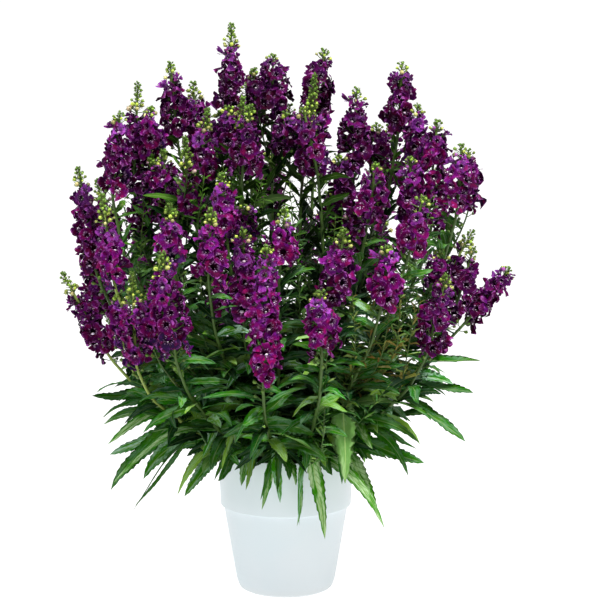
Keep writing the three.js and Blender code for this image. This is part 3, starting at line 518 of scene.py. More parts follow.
def circle(radius, angles, height=0.0):
    """Points about the vertical axis."""
    return np.stack(np.broadcast_arrays(radius * np.cos(angles), radius * np.sin(angles), height), axis=-1)


def even(count):
    """Angles that share a full turn."""
    return np.arange(count) * 2 * math.pi / count


# Meshes


def grid_faces(rows, columns, closed=False):
    """Quadrilaterals of a grid of points, closed from the last column to the first where it goes around."""
    wide = columns if closed else columns - 1
    row, here = np.divmod(np.arange((rows - 1) * wide), wide)
    here, after = row * columns + here, row * columns + (here + 1) % columns
    return np.stack([here, after, after + columns, here + columns], axis=1)


def fan(centre, first, count, flipped=False):
    """Triangles from a point to a ring of others."""
    ring = np.arange(count)
    edges = first + np.stack([ring, (ring + 1) % count], axis=1)
    return np.column_stack([np.full(count, centre), edges[:, ::-1] if flipped else edges])


def repeated(faces, copies, points):
    """A form's faces once for each copy of its points."""
    faces = np.asarray(faces)
    return (faces[None] + points * np.arange(copies)[:, None, None]).reshape(-1, faces.shape[1])


class Shape:
    """Points and faces of one mesh while they are collected, with numbers at each point for its materials."""

    def __init__(self, *marks):
        self.points, self.faces, self.count = [], [], 0
        self.marks = {mark: [] for mark in marks}

    def add(self, points, faces, slot=0, **marks):
        points = np.asarray(points, float).reshape(-1, 3)
        self.faces += [(np.asarray(group) + self.count, slot) for group in faces]
        for name, values in self.marks.items():
            values.append(np.broadcast_to(np.asarray(marks.get(name, 0.0), float), len(points)))
        self.points.append(points)
        self.count += len(points)

    def stamp(self, form, origins, frames, sizes, slot=0, **marks):
        """Copies of a form, each at its origin, along the three rows of its frame, and times its size."""
        points, faces, own = form
        copies = len(origins)
        if copies == 0:
            return
        sizes = np.asarray(sizes, float)
        if sizes.ndim < 2:
            sizes = np.broadcast_to(sizes.reshape(-1, 1), (copies, 3))
        placed = np.einsum("cpi,cij->cpj", points[None] * sizes[:, None], np.asarray(frames, float))
        spread = {name: np.tile(values, copies) for name, values in own.items()}
        for name, values in marks.items():
            spread[name] = np.repeat(np.broadcast_to(values, copies), len(points))
        faces = [repeated(group, copies, len(points)) for group in faces]
        self.add(placed + np.asarray(origins, float)[:, None], faces, slot, **spread)

    def tubes(self, paths, radii, reference, sides, **marks):
        """Round tubes along paths that have equally many points. Marks are numbers along each path."""
        count, steps = paths.shape[:2]
        along = unit(np.gradient(paths, axis=1))
        side = unit(reference[:, None] - along * np.sum(reference[:, None] * along, axis=2, keepdims=True))
        up = np.cross(along, side)
        ring = column(np.cos(even(sides))) * side[:, :, None] + column(np.sin(even(sides))) * up[:, :, None]
        faces = repeated(grid_faces(steps, sides, True), count, steps * sides)
        for name, values in marks.items():
            marks[name] = np.repeat(np.broadcast_to(values, (count, steps)), sides)
        self.add(paths[:, :, None] + ring * column(column(radii)), [faces], **marks)


def make_object(name, shape):
    """A mesh object in metres, with the marks of its shape at each point."""
    mesh = bpy.data.meshes.new(name)
    points = np.concatenate(shape.points) * METRES
    loops = np.concatenate([faces.reshape(-1) for faces, _ in shape.faces])
    sizes = np.concatenate([np.full(len(faces), faces.shape[1]) for faces, _ in shape.faces])
    slots = np.concatenate([np.full(len(faces), slot) for faces, slot in shape.faces])
    mesh.vertices.add(len(points))
    mesh.vertices.foreach_set("co", points.astype(np.float32).reshape(-1))
    mesh.loops.add(len(loops))
    mesh.loops.foreach_set("vertex_index", loops.astype(np.int32))
    mesh.polygons.add(len(sizes))
    mesh.polygons.foreach_set("loop_start", (np.cumsum(sizes) - sizes).astype(np.int32))
    mesh.polygons.foreach_set("material_index", slots.astype(np.int32))
    mesh.update(calc_edges=True)
    for mark, values in shape.marks.items():
        attribute = mesh.attributes.new(mark, "FLOAT", "POINT")
        attribute.data.foreach_set("value", np.concatenate(values).astype(np.float32))
    made = bpy.data.objects.new(name, mesh)
    bpy.context.scene.collection.objects.link(made)
    return made


def make_piece(name, shape, materials, nodes=()):
    """A piece that rides on the body and stands for the given solids."""
    piece = make_object(name, shape)
    for material in materials:
        piece.data.materials.append(material)
    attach(piece, "root")
    if nodes:
        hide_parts(*nodes)
    return piece


# Materials


class Look:
    """A procedural material, with a short call for each kind of node in it."""

    def __init__(self, name, **constants):
        self.material = bpy.data.materials.new(name)
        self.material.use_nodes = True
        self.tree = self.material.node_tree
        self.shader = self.tree.nodes["Principled BSDF"]
        for socket, value in constants.items():
            self.shader.inputs[socket.replace("_", " ")].default_value = value

    def node(self, kind, *values, **settings):
        """A new node with its first inputs fed."""
        made = self.tree.nodes.new("ShaderNode" + kind)
        for setting, value in settings.items():
            setattr(made, setting, value)
        for socket, value in zip(made.inputs, values):
            self.feed(socket, value)
        return made

    def feed(self, socket, value):
        """Links an output to a socket, or sets the socket to a number or colour."""
        if isinstance(value, bpy.types.NodeSocket):
            self.tree.links.new(value, socket)
        else:
            socket.default_value = (*value, 1.0) if socket.type == "RGBA" else value

    def marks(self, *names):
        return [self.node("Attribute", attribute_name=name).outputs["Fac"] for name in names]

    def place(self):
        return self.node("TexCoord").outputs["Object"]

    def maths(self, operation, *values):
        return self.node("Math", *values, operation=operation).outputs[0]

    def times(self, a, b):
        return self.maths("MULTIPLY", a, b)

    def minus(self, a, b):
        return self.maths("SUBTRACT", a, b)

    def vector(self, x, y, z):
        return self.node("CombineXYZ", x, y, z).outputs[0]

    def span(self, value, low, high, to_low=0.0, to_high=1.0):
        """A value's place between two limits, as a smooth step."""
        limits = (low, high, to_low, to_high)
        return self.node("MapRange", value, *limits, interpolation_type="SMOOTHSTEP").outputs[0]

    def noise(self, scale, detail=3.0, rough=0.55, place=None):
        return self.node("TexNoise", place or self.place(), 0.0, scale, detail, rough).outputs[0]

    def ramp(self, factor, *stops):
        made = self.node("ValToRGB", factor)
        elements = made.color_ramp.elements
        while len(elements) < len(stops):
            elements.new(0.5)
        for element, (position, colour) in zip(elements, stops):
            element.position = position
            element.color = (*colour, 1.0)
        return made.outputs[0]

    def mix(self, factor, a, b, mode="MIX"):
        made = self.node("Mix", factor, data_type="RGBA", blend_type=mode)
        for socket, colour in zip([socket for socket in made.inputs if socket.type == "RGBA"], (a, b)):
            self.feed(socket, colour)
        return next(socket for socket in made.outputs if socket.type == "RGBA")

    def layers(self, colour, *others):
        """A colour with others over it, each as far as its factor says."""
        for factor, other in others:
            colour = self.mix(factor, colour, other)
        return colour

    def shaded(self, colour, light):
        return self.mix(1.0, colour, self.vector(light, light, light), "MULTIPLY")

    def finish(self, colour, roughness, height, distance, strength=1.0):
        """Sets the colour and roughness, and raises the surface by a height map."""
        bump = self.node("Bump", strength, distance * METRES)
        self.feed(bump.inputs["Height"], height)
        for socket, value in (("Base Color", colour), ("Roughness", roughness), ("Normal", bump.outputs[0])):
            self.feed(self.shader.inputs[socket], value)
        return self.material


def petal_look():
    """Velvety petals: violet while young, magenta later, with painted shade in the throat and pale rim
    flecks, partly painted highlight.
    """
    look = Look("petals", Specular_IOR_Level=0.03, Sheen_Weight=0.01, Sheen_Roughness=0.35,
                Sheen_Tint=(0.75, 0.35, 1.0, 1.0))
    radial, lobe, tint, age, shade = look.marks(*FLORET_MARKS)
    streaks = look.noise(3.4, 3.0, 0.62, look.vector(look.times(lobe, 8.0), look.times(radial, 1.5), tint))
    flecks = look.noise(2.6, 2.0, 0.6, look.vector(look.times(lobe, 2.6), tint, radial))
    patches = look.noise(130.0, 2.5)
    # Painted highlight: pale patches on the outer half of the lobes that stand in for gloss
    painted_gloss = look.span(look.noise(180.0, 2.0), 0.60, 0.70, 0.0, 0.75)
    young_to_old = look.ramp(
        age,
        (0.0, (0.290, 0.060, 0.390)),
        (0.15, (0.150, 0.006, 0.146)),
        (0.6, (0.100, 0.0010, 0.064)),
        (0.92, (0.064, 0.0011, 0.034)),
        (1.0, (0.022, 0.010, 0.054)),
    )
    body = look.layers(
        young_to_old,
        (look.span(patches, 0.50, 0.66, 0.0, 0.85), (0.190, 0.0030, 0.060)),
        (look.span(patches, 0.48, 0.32, 0.0, 0.85), (0.100, 0.006, 0.150)),
        (look.span(streaks, 0.44, 0.66, 0.0, 0.8), (0.022, 0.0005, 0.018)),
    )
    # Painted light and shade: darker into the throat, brightness by each floret's tint (random tone plus
    # painted front light), and darker deep inside the bush
    light = look.times(look.span(radial, 0.20, 0.75, 0.42, 1.15), look.span(tint, 0.0, 1.0, 0.45, 1.55))
    body = look.shaded(body, look.times(light, look.span(shade, 0.0, 1.0, 0.6, 1.0)))
    # Lighter flecks at the rim: partly the petals' paler margin, partly painted highlight
    rim = look.times(look.span(radial, 0.84, 1.02), look.span(streaks, 0.60, 0.36, 0.0, 0.9))
    ring = look.times(look.span(radial, 0.22, 0.28), look.span(radial, 0.52, 0.38))
    body = look.layers(
        body,
        (rim, (0.580, 0.170, 0.610)),
        (look.times(painted_gloss, look.span(radial, 0.45, 0.70)), (0.440, 0.095, 0.470)),
        (look.times(ring, look.span(flecks, 0.54, 0.62, 0.0, 0.9)), (0.66, 0.38, 0.66)),
    )
    return look.finish(body, look.span(streaks, 0.3, 0.8, 0.45, 0.65), streaks, 0.5, 0.9)


def callus_look():
    look = Look("callus", Subsurface_Weight=0.1)
    grain = look.noise(900.0, 2.0)
    colour = look.mix(look.span(grain, 0.3, 0.7), (0.90, 0.80, 0.84), (0.60, 0.36, 0.56))
    return look.finish(colour, 0.6, grain, 0.1)


def leaf_look():
    """Leaves from blue green to yellow green, some with pale painted sheen patches, all with a midrib and
    side veins.
    """
    look = Look("leaves", Specular_IOR_Level=0.03)
    along, across, under, tint, age, shade, dry = look.marks(*LEAF_MARKS)
    young_to_old = look.ramp(
        age,
        (0.0, (0.032, 0.092, 0.007)),
        (0.3, (0.018, 0.094, 0.004)),
        (0.7, (0.011, 0.110, 0.002)),
        (1.0, (0.024, 0.138, 0.002)),
    )
    blotches = look.noise(55.0, 4.0)
    yellow = look.times(look.span(tint, 0.76, 0.84, 0.0, 0.8), look.span(tint, 0.95, 0.90))
    edge = look.maths("ABSOLUTE", across)
    slant = look.minus(look.times(along, 13.0), look.times(edge, 1.7))
    wave = look.maths("ABSOLUTE", look.minus(look.maths("FRACT", slant), 0.5))
    vein = look.times(look.span(wave, 0.10, 0.0), look.span(edge, 0.95, 0.5))
    rib = look.span(edge, 0.10, 0.02)
    # Painted sheen: pale patches broken by the veins, bluish or greenish by tint, strongest on leaves with
    # the highest tints
    sheen = look.noise(1.5, 5.0, 0.62, look.vector(look.times(along, 2.6), across, look.times(tint, 90.0)))
    pale = look.times(look.span(tint, 0.88, 0.95, 0.3, 1.0), look.span(sheen, 0.44, 0.60, 0.0, 0.9))
    pale = look.times(pale, look.span(wave, 0.0, 0.16, 0.45, 1.0))
    painted_sheen_colour = look.mix(look.span(tint, 0.962, 0.972), (0.260, 0.390, 0.310), (0.280, 0.390, 0.200))
    green = look.layers(
        young_to_old,
        (look.span(blotches, 0.42, 0.70, 0.0, 0.6), (0.064, 0.172, 0.008)),
        (look.times(yellow, look.span(age, 0.2, 0.6)), (0.150, 0.262, 0.030)),
        (look.span(tint, 0.38, 0.12, 0.0, 0.85), (0.002, 0.046, 0.008)),
        (look.times(pale, look.span(age, 0.0, 0.4)), painted_sheen_colour),
        (look.span(tint, 0.982, 0.988, 0.0, 0.7), (0.105, 0.200, 0.058)),
        (look.times(vein, 0.35), (0.100, 0.190, 0.034)),
        (look.times(under, 0.6), (0.110, 0.195, 0.046)),
        (look.times(rib, 0.7), (0.230, 0.340, 0.110)),
        (dry, (0.140, 0.075, 0.018)),
    )
    # Painted light and shade: brightness by each leaf's tint, and painted shade deep inside the bush, where
    # little light comes
    light = look.times(look.span(tint, 0.0, 1.0, 0.50, 1.60), look.span(shade, 0.0, 1.0, 0.3, 1.15))
    height = look.minus(look.noise(500.0, 2.0), look.times(look.maths("MAXIMUM", vein, rib), 1.2))
    rough = look.span(blotches, 0.3, 0.7, 0.40, 0.55)
    return look.finish(look.shaded(green, light), rough, height, 0.25, 0.7)


def stem_look():
    """Ribbed stems: brown and woody at the soil, green above, yellow green among the florets."""
    look = Look("stems")
    age, tint = look.marks("age", "tint")
    young_to_old = look.ramp(
        age,
        (0.0, (0.160, 0.250, 0.034)),
        (0.3, (0.062, 0.130, 0.014)),
        (0.7, (0.040, 0.090, 0.009)),
        (0.93, (0.045, 0.048, 0.013)),
        (1.0, (0.050, 0.034, 0.016)),
    )
    fibres = look.noise(420.0, 3.0)
    green = look.layers(
        young_to_old,
        (look.span(fibres, 0.35, 0.75, 0.0, 0.5), (0.028, 0.058, 0.008)),
        (look.span(tint, 0.75, 1.0, 0.0, 0.85), (0.290, 0.390, 0.070)),
    )
    return look.finish(green, 0.5, fibres, 0.3)


def bud_look():
    """Round buds: green at the top of a spike, cream below, and flushed with lilac before they open."""
    look = Look("buds", Subsurface_Weight=0.08)
    age, tint, along = look.marks("age", "tint", "along")
    green_to_lilac = look.ramp(
        age,
        (0.0, (0.080, 0.180, 0.016)),
        (0.4, (0.190, 0.320, 0.030)),
        (0.72, (0.430, 0.500, 0.070)),
        (0.92, (0.500, 0.420, 0.180)),
        (1.0, (0.250, 0.040, 0.260)),
    )
    grain = look.noise(700.0, 2.0)
    skin = look.layers(
        green_to_lilac,
        (look.span(grain, 0.4, 0.75, 0.0, 0.4), (0.130, 0.170, 0.030)),
        (look.span(along, 0.5, 0.2, 0.0, 0.85), (0.060, 0.120, 0.015)),
    )
    return look.finish(look.shaded(skin, look.span(tint, 0.0, 1.0, 0.75, 1.9)), 0.45, grain, 0.2)


def pot_look():
    """Icy white moulded plastic, faintly clouded, with fine scuffs and a little dust at the foot."""
    look = Look("pot_plastic", Specular_IOR_Level=0.45)
    place = look.place()
    stretched = look.node("Mapping", place)
    stretched.inputs["Scale"].default_value = (30.0, 30.0, 420.0)
    scuffs = look.noise(1.0, 4.0, 0.65, stretched.outputs[0])
    height = look.node("SeparateXYZ", place).outputs[2]
    cloud = look.span(look.noise(9.0, 3.0, 0.5, place), 0.35, 0.65)
    colour = look.layers(
        look.mix(cloud, (0.690, 0.770, 0.810), (0.725, 0.785, 0.820)),
        (look.span(scuffs, 0.62, 0.8, 0.0, 0.25), (0.62, 0.70, 0.74)),
        (look.span(height, 0.014, 0.0, 0.0, 0.3), (0.60, 0.60, 0.57)),
    )
    grain = look.noise(1400.0, 2.0, 0.5, place)
    return look.finish(colour, look.span(scuffs, 0.3, 0.8, 0.34, 0.52), grain, 0.03, 0.5)


def soil_look():
    look = Look("soil_crumb")
    tint, = look.marks("tint")
    coarse, fine = look.noise(140.0, 6.0, 0.7), look.noise(900.0, 4.0, 0.7)
    crumbs = look.ramp(
        coarse,
        (0.25, (0.008, 0.005, 0.003)),
        (0.5, (0.028, 0.017, 0.010)),
        (0.75, (0.070, 0.042, 0.023)),
    )
    brown = look.layers(
        crumbs,
        (look.span(tint, 0.90, 0.93), (0.62, 0.60, 0.54)),
        (look.times(look.span(tint, 0.6, 0.7), look.span(tint, 0.9, 0.8)), (0.10, 0.055, 0.026)),
    )
    return look.finish(brown, 0.92, look.maths("ADD", coarse, look.times(fine, 0.5)), 2.0)


# The plan of the plant, by the rules of its solids


class Stem:
    """A stem that arcs in one plane from its crown to the lowest floret, then runs straight to its tip."""

    def __init__(self, branch, number, serial, base, foot, tip, buds, girth=1.0):
        self.branch, self.number, self.serial, self.girth = branch, number, serial, girth
        self.low, self.high = np.array(foot, float), np.array(tip, float)
        self.axis = unit(self.high - self.low)
        bend = self.low - self.axis * STEM_BEND * np.linalg.norm(self.low - base)
        self.side = unit(np.cross(bend - base, self.axis))
        self.span = np.linalg.norm(self.high - self.low)
        self.bloom = self.span * (1 - buds)
        t = np.arange(STEM_BANDS + 1)[:, None] / STEM_BANDS
        corners = (1 - t) ** 2 * base + 2 * t * (1 - t) * bend + t * t * self.low
        steps = np.arange(BAND_STEPS)[:, None] / BAND_STEPS
        bands = [lerp(low, high, steps) for low, high in zip(corners, corners[1:])]
        self.arc = np.concatenate([*bands, corners[-1:]])
        self.lengths = np.concatenate([[0], np.cumsum(np.linalg.norm(np.diff(self.arc, axis=0), axis=1))])
        self.total = self.lengths[-1]
        self.nodes = []

    def at(self, heights):
        """Points on the stem by the length up to them."""
        heights = np.asarray(heights, float)
        on_arc = np.stack([np.interp(heights, self.lengths, self.arc[:, i]) for i in range(3)], axis=-1)
        return on_arc + column(np.maximum(heights - self.total, 0)) * self.axis

    def along(self, height):
        if height >= self.total:
            return self.axis
        step = max(1, int(np.argmax(self.lengths >= height)))
        return unit(self.arc[step] - self.arc[step - 1])

    def soft(self, heights):
        """Points on the stem with the corners between its straight bands eased."""
        return np.mean([self.at(heights + shift) for shift in (-9, -4.5, 0, 4.5, 9)], axis=0)

    def radius(self, heights):
        low = lerp(STEM_BASE_RADIUS, STEM_FOOT_RADIUS, np.clip(heights / self.total, 0, 1))
        blooming = np.clip((heights - self.total) / self.bloom, 0, 1)
        budding = np.clip((heights - self.total - self.bloom) / (self.span - self.bloom), 0, 1)
        high = lerp(lerp(STEM_FOOT_RADIUS, STEM_BLOOM_RADIUS, blooming), STEM_TIP_RADIUS, budding)
        return self.girth * np.where(heights < self.total, low, high)

    def spokes(self, turns):
        """Directions square to the raceme's axis, by their angles about it."""
        return column(np.cos(turns)) * self.side + column(np.sin(turns)) * np.cross(self.axis, self.side)


class Leaf:
    """A leaf's root, direction, side and measures. Its face leans out of the bush, and a roll turns it."""

    def __init__(self, root, along, length, sag, roll):
        azimuth = math.atan2(along[1], along[0])
        outside = np.clip(-root[1] / LEAN_REACH, -1, 1)
        level = np.array([-math.sin(azimuth), math.cos(azimuth), 0.0])
        self.root, self.along, self.length, self.sag = root, along, length, sag
        self.arch, self.dry, self.lit, self.slim, self.tint = 0.0, 0.0, 0.0, 1.0, None
        self.side = turned(level, along, roll + LEAF_LEAN * outside * math.cos(azimuth))
        self.half_width = min(MAX_HALF_WIDTH, length / LEAF_SLENDERNESS)

    def midrib(self, t):
        t = column(t)
        return self.root + self.along * self.length * t - UP * 0.5 * self.sag * self.length * t * t

    def room(self):
        """Balls over the leaf that stand for the room it takes, as points and radii."""
        t, share = np.repeat(ROOM_STEPS, len(ROOM_ACROSS), axis=0).T
        across = np.tile(ROOM_ACROSS, len(ROOM_STEPS)) * share * self.half_width
        return self.midrib(t) + column(across) * self.side, 1 + 0.3 * share * self.half_width


def leaf_at(root, azimuth, elevation, length, sag, roll):
    azimuth, elevation = math.radians(azimuth), math.radians(elevation)
    return Leaf(root, circle(math.cos(elevation), azimuth, math.sin(elevation)), length, sag, roll)


def leaf_to(root, tip, sag):
    """A leaf whose tip reaches a given point, with the direction that its sag asks for at the root."""
    chord = tip - root
    square = 1 - sag * sag / 4
    drop = sag * chord[2]
    length = (drop + math.sqrt(drop * drop + 4 * square * np.dot(chord, chord))) / (2 * square)
    return Leaf(root, (chord + UP * 0.5 * sag * length) / length, length, sag, 0)


class Room:
    """Balls that leaves keep clear of, each with an owner."""

    def __init__(self, stems):
        self.points, self.radii, self.owners = [], [], []
        for stem in stems:
            self.add(stem.branch, stem.arc, np.full(len(stem.arc), STEM_ROOM))
            heights = np.arange(12, stem.span + 1e-9, 6)
            bloom = BLOOM_ROOM - BLOOM_TAPER * heights / stem.bloom
            wide = np.where(heights <= stem.bloom, bloom, BUD_ROOM)
            self.add("bloom", stem.low + column(heights) * stem.axis, wide)

    def add(self, owner, points, radii):
        self.points.append(points)
        self.radii.append(radii)
        self.owners.append([owner] * len(points))

    def lists(self):
        return np.concatenate(self.points), np.concatenate(self.radii), np.concatenate(self.owners)


def apart(points, others):
    return np.linalg.norm(points[:, None] - others[None], axis=2)


def is_clear(leaf, room, branch):
    points, radii = leaf.room()
    out = np.hypot(points[:, 0], points[:, 1])
    if np.any((points[:, 2] - radii < POT_HEIGHT + CLEAR) & (out < RIM_RADIUS + RIM_CLEAR + 0.3 * radii)):
        return False
    others, wide, owners = room.lists()
    near_root = (owners == branch) & (np.linalg.norm(others - leaf.root, axis=1) < OWN_REACH)
    return bool(np.all(apart(points, others[~near_root]) >= radii[:, None] + wide[~near_root] + CLEAR))


def settle(stem, height, dodges, make_leaf, room):
    """Puts a large leaf on a stem, turned as far as it takes to be clear."""
    root, along = stem.at(height), stem.along(height)
    near = [node for node in stem.nodes if abs(node[0] - height) < 2.5 * NODE_HALF_HEIGHT]
    if near and near[0][0] != height:
        return
    for dodge in dodges:
        leaf = make_leaf(root, dodge)
        if abs(np.dot(leaf.along, along)) <= LEAF_MAX_ALONG and is_clear(leaf, room, stem.branch):
            if near:
                near[0][1].append(leaf)
            else:
                stem.nodes.append((height, [leaf]))
            room.add("leaf", *leaf.room())
            return


def place_leaves(stems):
    """The large leaves, as in the solids: the outer ones, then opposite pairs up each stem."""
    room = Room(stems.values())
    for branch, number, height, tip, sag in OUTER_LEAVES:

        def reaching(root, dodge):
            leaf = leaf_to(root, root + turned(tip - root, UP, dodge), sag)
            leaf.arch = lerp(*OUTER_ARCHES, draw(height, tip[2])) - SIDEWAYS_DROOP * abs(leaf.along[0])
            # A share of the outer leaves gets the sheen tints, which give painted sheen
            with_painted_sheen = draw(height, tip[1]) < SHEEN_SHARE
            leaf.tint = lerp(*(SHEEN_TINTS if with_painted_sheen else OUTER_TINTS), draw(height, tip[0]))
            leaf.slim = SLIM_LEAVES.get((branch, number, height), 1.0)
            return leaf

        settle(stems[branch, number], height, OUTER_DODGES, reaching, room)
    for stem in stems.values():
        for pair, height in enumerate(np.arange(FIRST_NODE, stem.total - TOP_CLEARANCE, NODE_PITCH)):
            for member in range(2):
                azimuth, elevation, length, sag, roll, outward = spread_of(stem, pair, member, height)

                def standing(root, dodge):
                    return leaf_at(root, azimuth + dodge, elevation, length, sag, roll)

                if length >= LARGE_LEAF and outward >= LEAST_OUTWARD:
                    settle(stem, height, DODGES, standing, room)
    return room


def front_leaves(stem):
    """The leaves at the photo's front that only the looks have."""
    found = []
    for branch, number, height, tip, sag, half_width, tint in FRONT_LEAVES:
        if (branch, number) == (stem.branch, stem.number):
            leaf = leaf_to(stem.soft(height), np.array(tip, float), sag)
            leaf.half_width, leaf.tint, leaf.arch = half_width, tint, FRONT_ARCH
            found.append(leaf)
    return found


def spread_of(stem, pair, member, height):
    """How a leaf of a pair stands before it is turned clear of what is near."""
    jitter = jitters(stem.serial * 60 + pair * 2 + member, 21, 5)
    root = stem.at(height)
    azimuth = stem.serial * 47 + pair * 90 + member * 180 + 40 * jitter[0]
    share = height / stem.total
    rise = np.clip((root[2] - SOIL_TOP) / LEAF_RISE, 0, 1)
    length = lerp(LEAF_LENGTH, LEAF_TOP_LENGTH, 0.35 * share + 0.65 * rise) * (1 + 0.2 * jitter[1])
    outward = math.cos(math.radians(azimuth) - math.atan2(root[1], root[0]))
    elevation = lerp(*LEAF_ANGLES, rise) + 16 * jitter[2]
    sag = lerp(*LEAF_SAGS, rise) + 0.3 * jitter[3]
    return azimuth, elevation, length, sag, 40 * jitter[4], outward


def small_leaves(stem, room):
    """Smaller leaves between the large ones, one after another around the stem, up to the lowest floret."""
    blooms, wide, owners = room.lists()
    blooms, wide = blooms[owners == "bloom"], wide[owners == "bloom"]
    found = []
    for step in range(int((stem.total - SMALL_FIRST) / SMALL_PITCH) + 1):
        height = SMALL_FIRST + step * SMALL_PITCH
        root = stem.soft(height)
        rise = np.clip((root[2] - SOIL_TOP) / SMALL_RISE, 0, 1)
        jitter = jitters(stem.serial * 97 + step, 300, 6)
        azimuth = stem.serial * 47 + step * GOLDEN_ANGLE + 40 * jitter[1]
        upness = 0.4 * height / stem.total + 0.6 * rise
        length = min(lerp(SMALL_LENGTH, SMALL_TOP_LENGTH, upness) * (1 + 0.5 * jitter[2]), SMALL_MOST)
        elevation = lerp(*SMALL_ANGLES, rise) + 44 * jitter[3]
        sag = lerp(*SMALL_SAGS, rise) + 0.5 * jitter[4]
        for dodge in SMALL_DODGES:
            leaf = leaf_at(root, azimuth + dodge, elevation, length, sag, 90 * jitter[5])
            leaf.half_width = length / lerp(SMALL_SLENDERNESS, SMALL_TOP_SLENDERNESS, rise)
            if small_fits(leaf, blooms, wide):
                found.append(leaf)
                break
    return found


def small_fits(leaf, blooms, wide):
    points, _ = leaf.room()
    height, out = points[:, 2], np.hypot(points[:, 0], points[:, 1])
    at_rim = (out > RIM_RADIUS - SMALL_INSIDE_RIM) & (out < RIM_RADIUS + SMALL_OUTSIDE_RIM)
    in_rim = (height < POT_HEIGHT + SMALL_OVER_RIM) & at_rim
    in_soil = (height < SOIL_TOP + SMALL_OVER_SOIL) & (out <= RIM_RADIUS)
    hanging = (height < SMALL_LOWEST) & (out > RIM_RADIUS)
    tip = leaf.midrib(1.0)
    outside = tip[2] > BUSH_SIDE and np.hypot(tip[0], tip[1]) > 0.95 * bush_width(tip[2])
    if outside or np.any(in_rim | in_soil | hanging):
        return False
    return np.all(apart(points, blooms) >= BLOOM_OVERLAP * wide)


def twig_leaves(twig):
    """Narrow leaves that stand up around a thin shoot, shorter towards its tip."""
    found = []
    steps = int((twig.total + twig.span - 14) / TWIG_PITCH)
    for step in range(steps):
        jitter = jitters(twig.serial * 53 + step, 340, 5)
        azimuth = twig.serial * 47 + step * GOLDEN_ANGLE + 40 * jitter[0]
        length = lerp(*TWIG_LENGTHS, step / steps) * (1 + 0.5 * jitter[1])
        root = twig.soft(12 + step * TWIG_PITCH)
        elevation, sag, roll = TWIG_ANGLE + 50 * jitter[2], 0.5 + jitter[3], 90 * jitter[4]
        leaf = leaf_at(root, azimuth, elevation, length, sag, roll)
        leaf.half_width = length / TWIG_SLENDERNESS
        # Painted light: less painted shade the higher the leaf sits on the twig
        leaf.lit = TWIG_LIGHT * step / steps
        leaf.tint = lerp(*TWIG_TINTS, draw(root[2], twig.serial))
        leaf.dry = twig.dry * draw(root[2], twig.serial + 1) ** 0.7
        found.append(leaf)
    return found


def bush_width(height):
    return np.interp(height, *zip(*BUSH_PROFILE))


def outsideness(points):
    """From 0 deep inside the bush, where little light comes, to 1 at its outside."""
    return smooth_step(0.40, 0.94, np.hypot(points[:, 0], points[:, 1]) / bush_width(points[:, 2]))


# Leaves


def leaf_rows(teeth):
    """Places along a blade for its rows, and how far the edge stands out there as a tooth."""
    places, stands = [0.0, 0.025, 0.07], [0.0, 0.0, 0.0]
    pitch = 0.84 / teeth
    for tooth in range(teeth):
        places += [0.1 + tooth * pitch, 0.1 + (tooth + 0.72) * pitch]
        stands += [-0.35, 1.0]
    return np.array([*places, 0.965, 1.0]), np.array([*stands, 0.0, 0.0])


def blade_width(t):
    """A blade's half width along it, as a share of the widest."""
    swell = BLADE_TAPER * BLADE_WIDEST / (1 - BLADE_WIDEST)
    return np.maximum((t / BLADE_WIDEST) ** swell * ((1 - t) / (1 - BLADE_WIDEST)) ** BLADE_TAPER, 0.0)


def add_foliage(shape, leaves, first_seed):
    """All leaves of a stem: the larger they are, the finer."""
    for seed, leaf in enumerate(leaves, first_seed):
        leaf.seed = seed
        if leaf.tint is None:
            leaf.tint = draw(seed, 61)
    for least, most, *grade in LEAF_GRADES:
        graded = [leaf for leaf in leaves if least <= leaf.length < most]
        if graded:
            add_leaves(shape, graded, *grade)


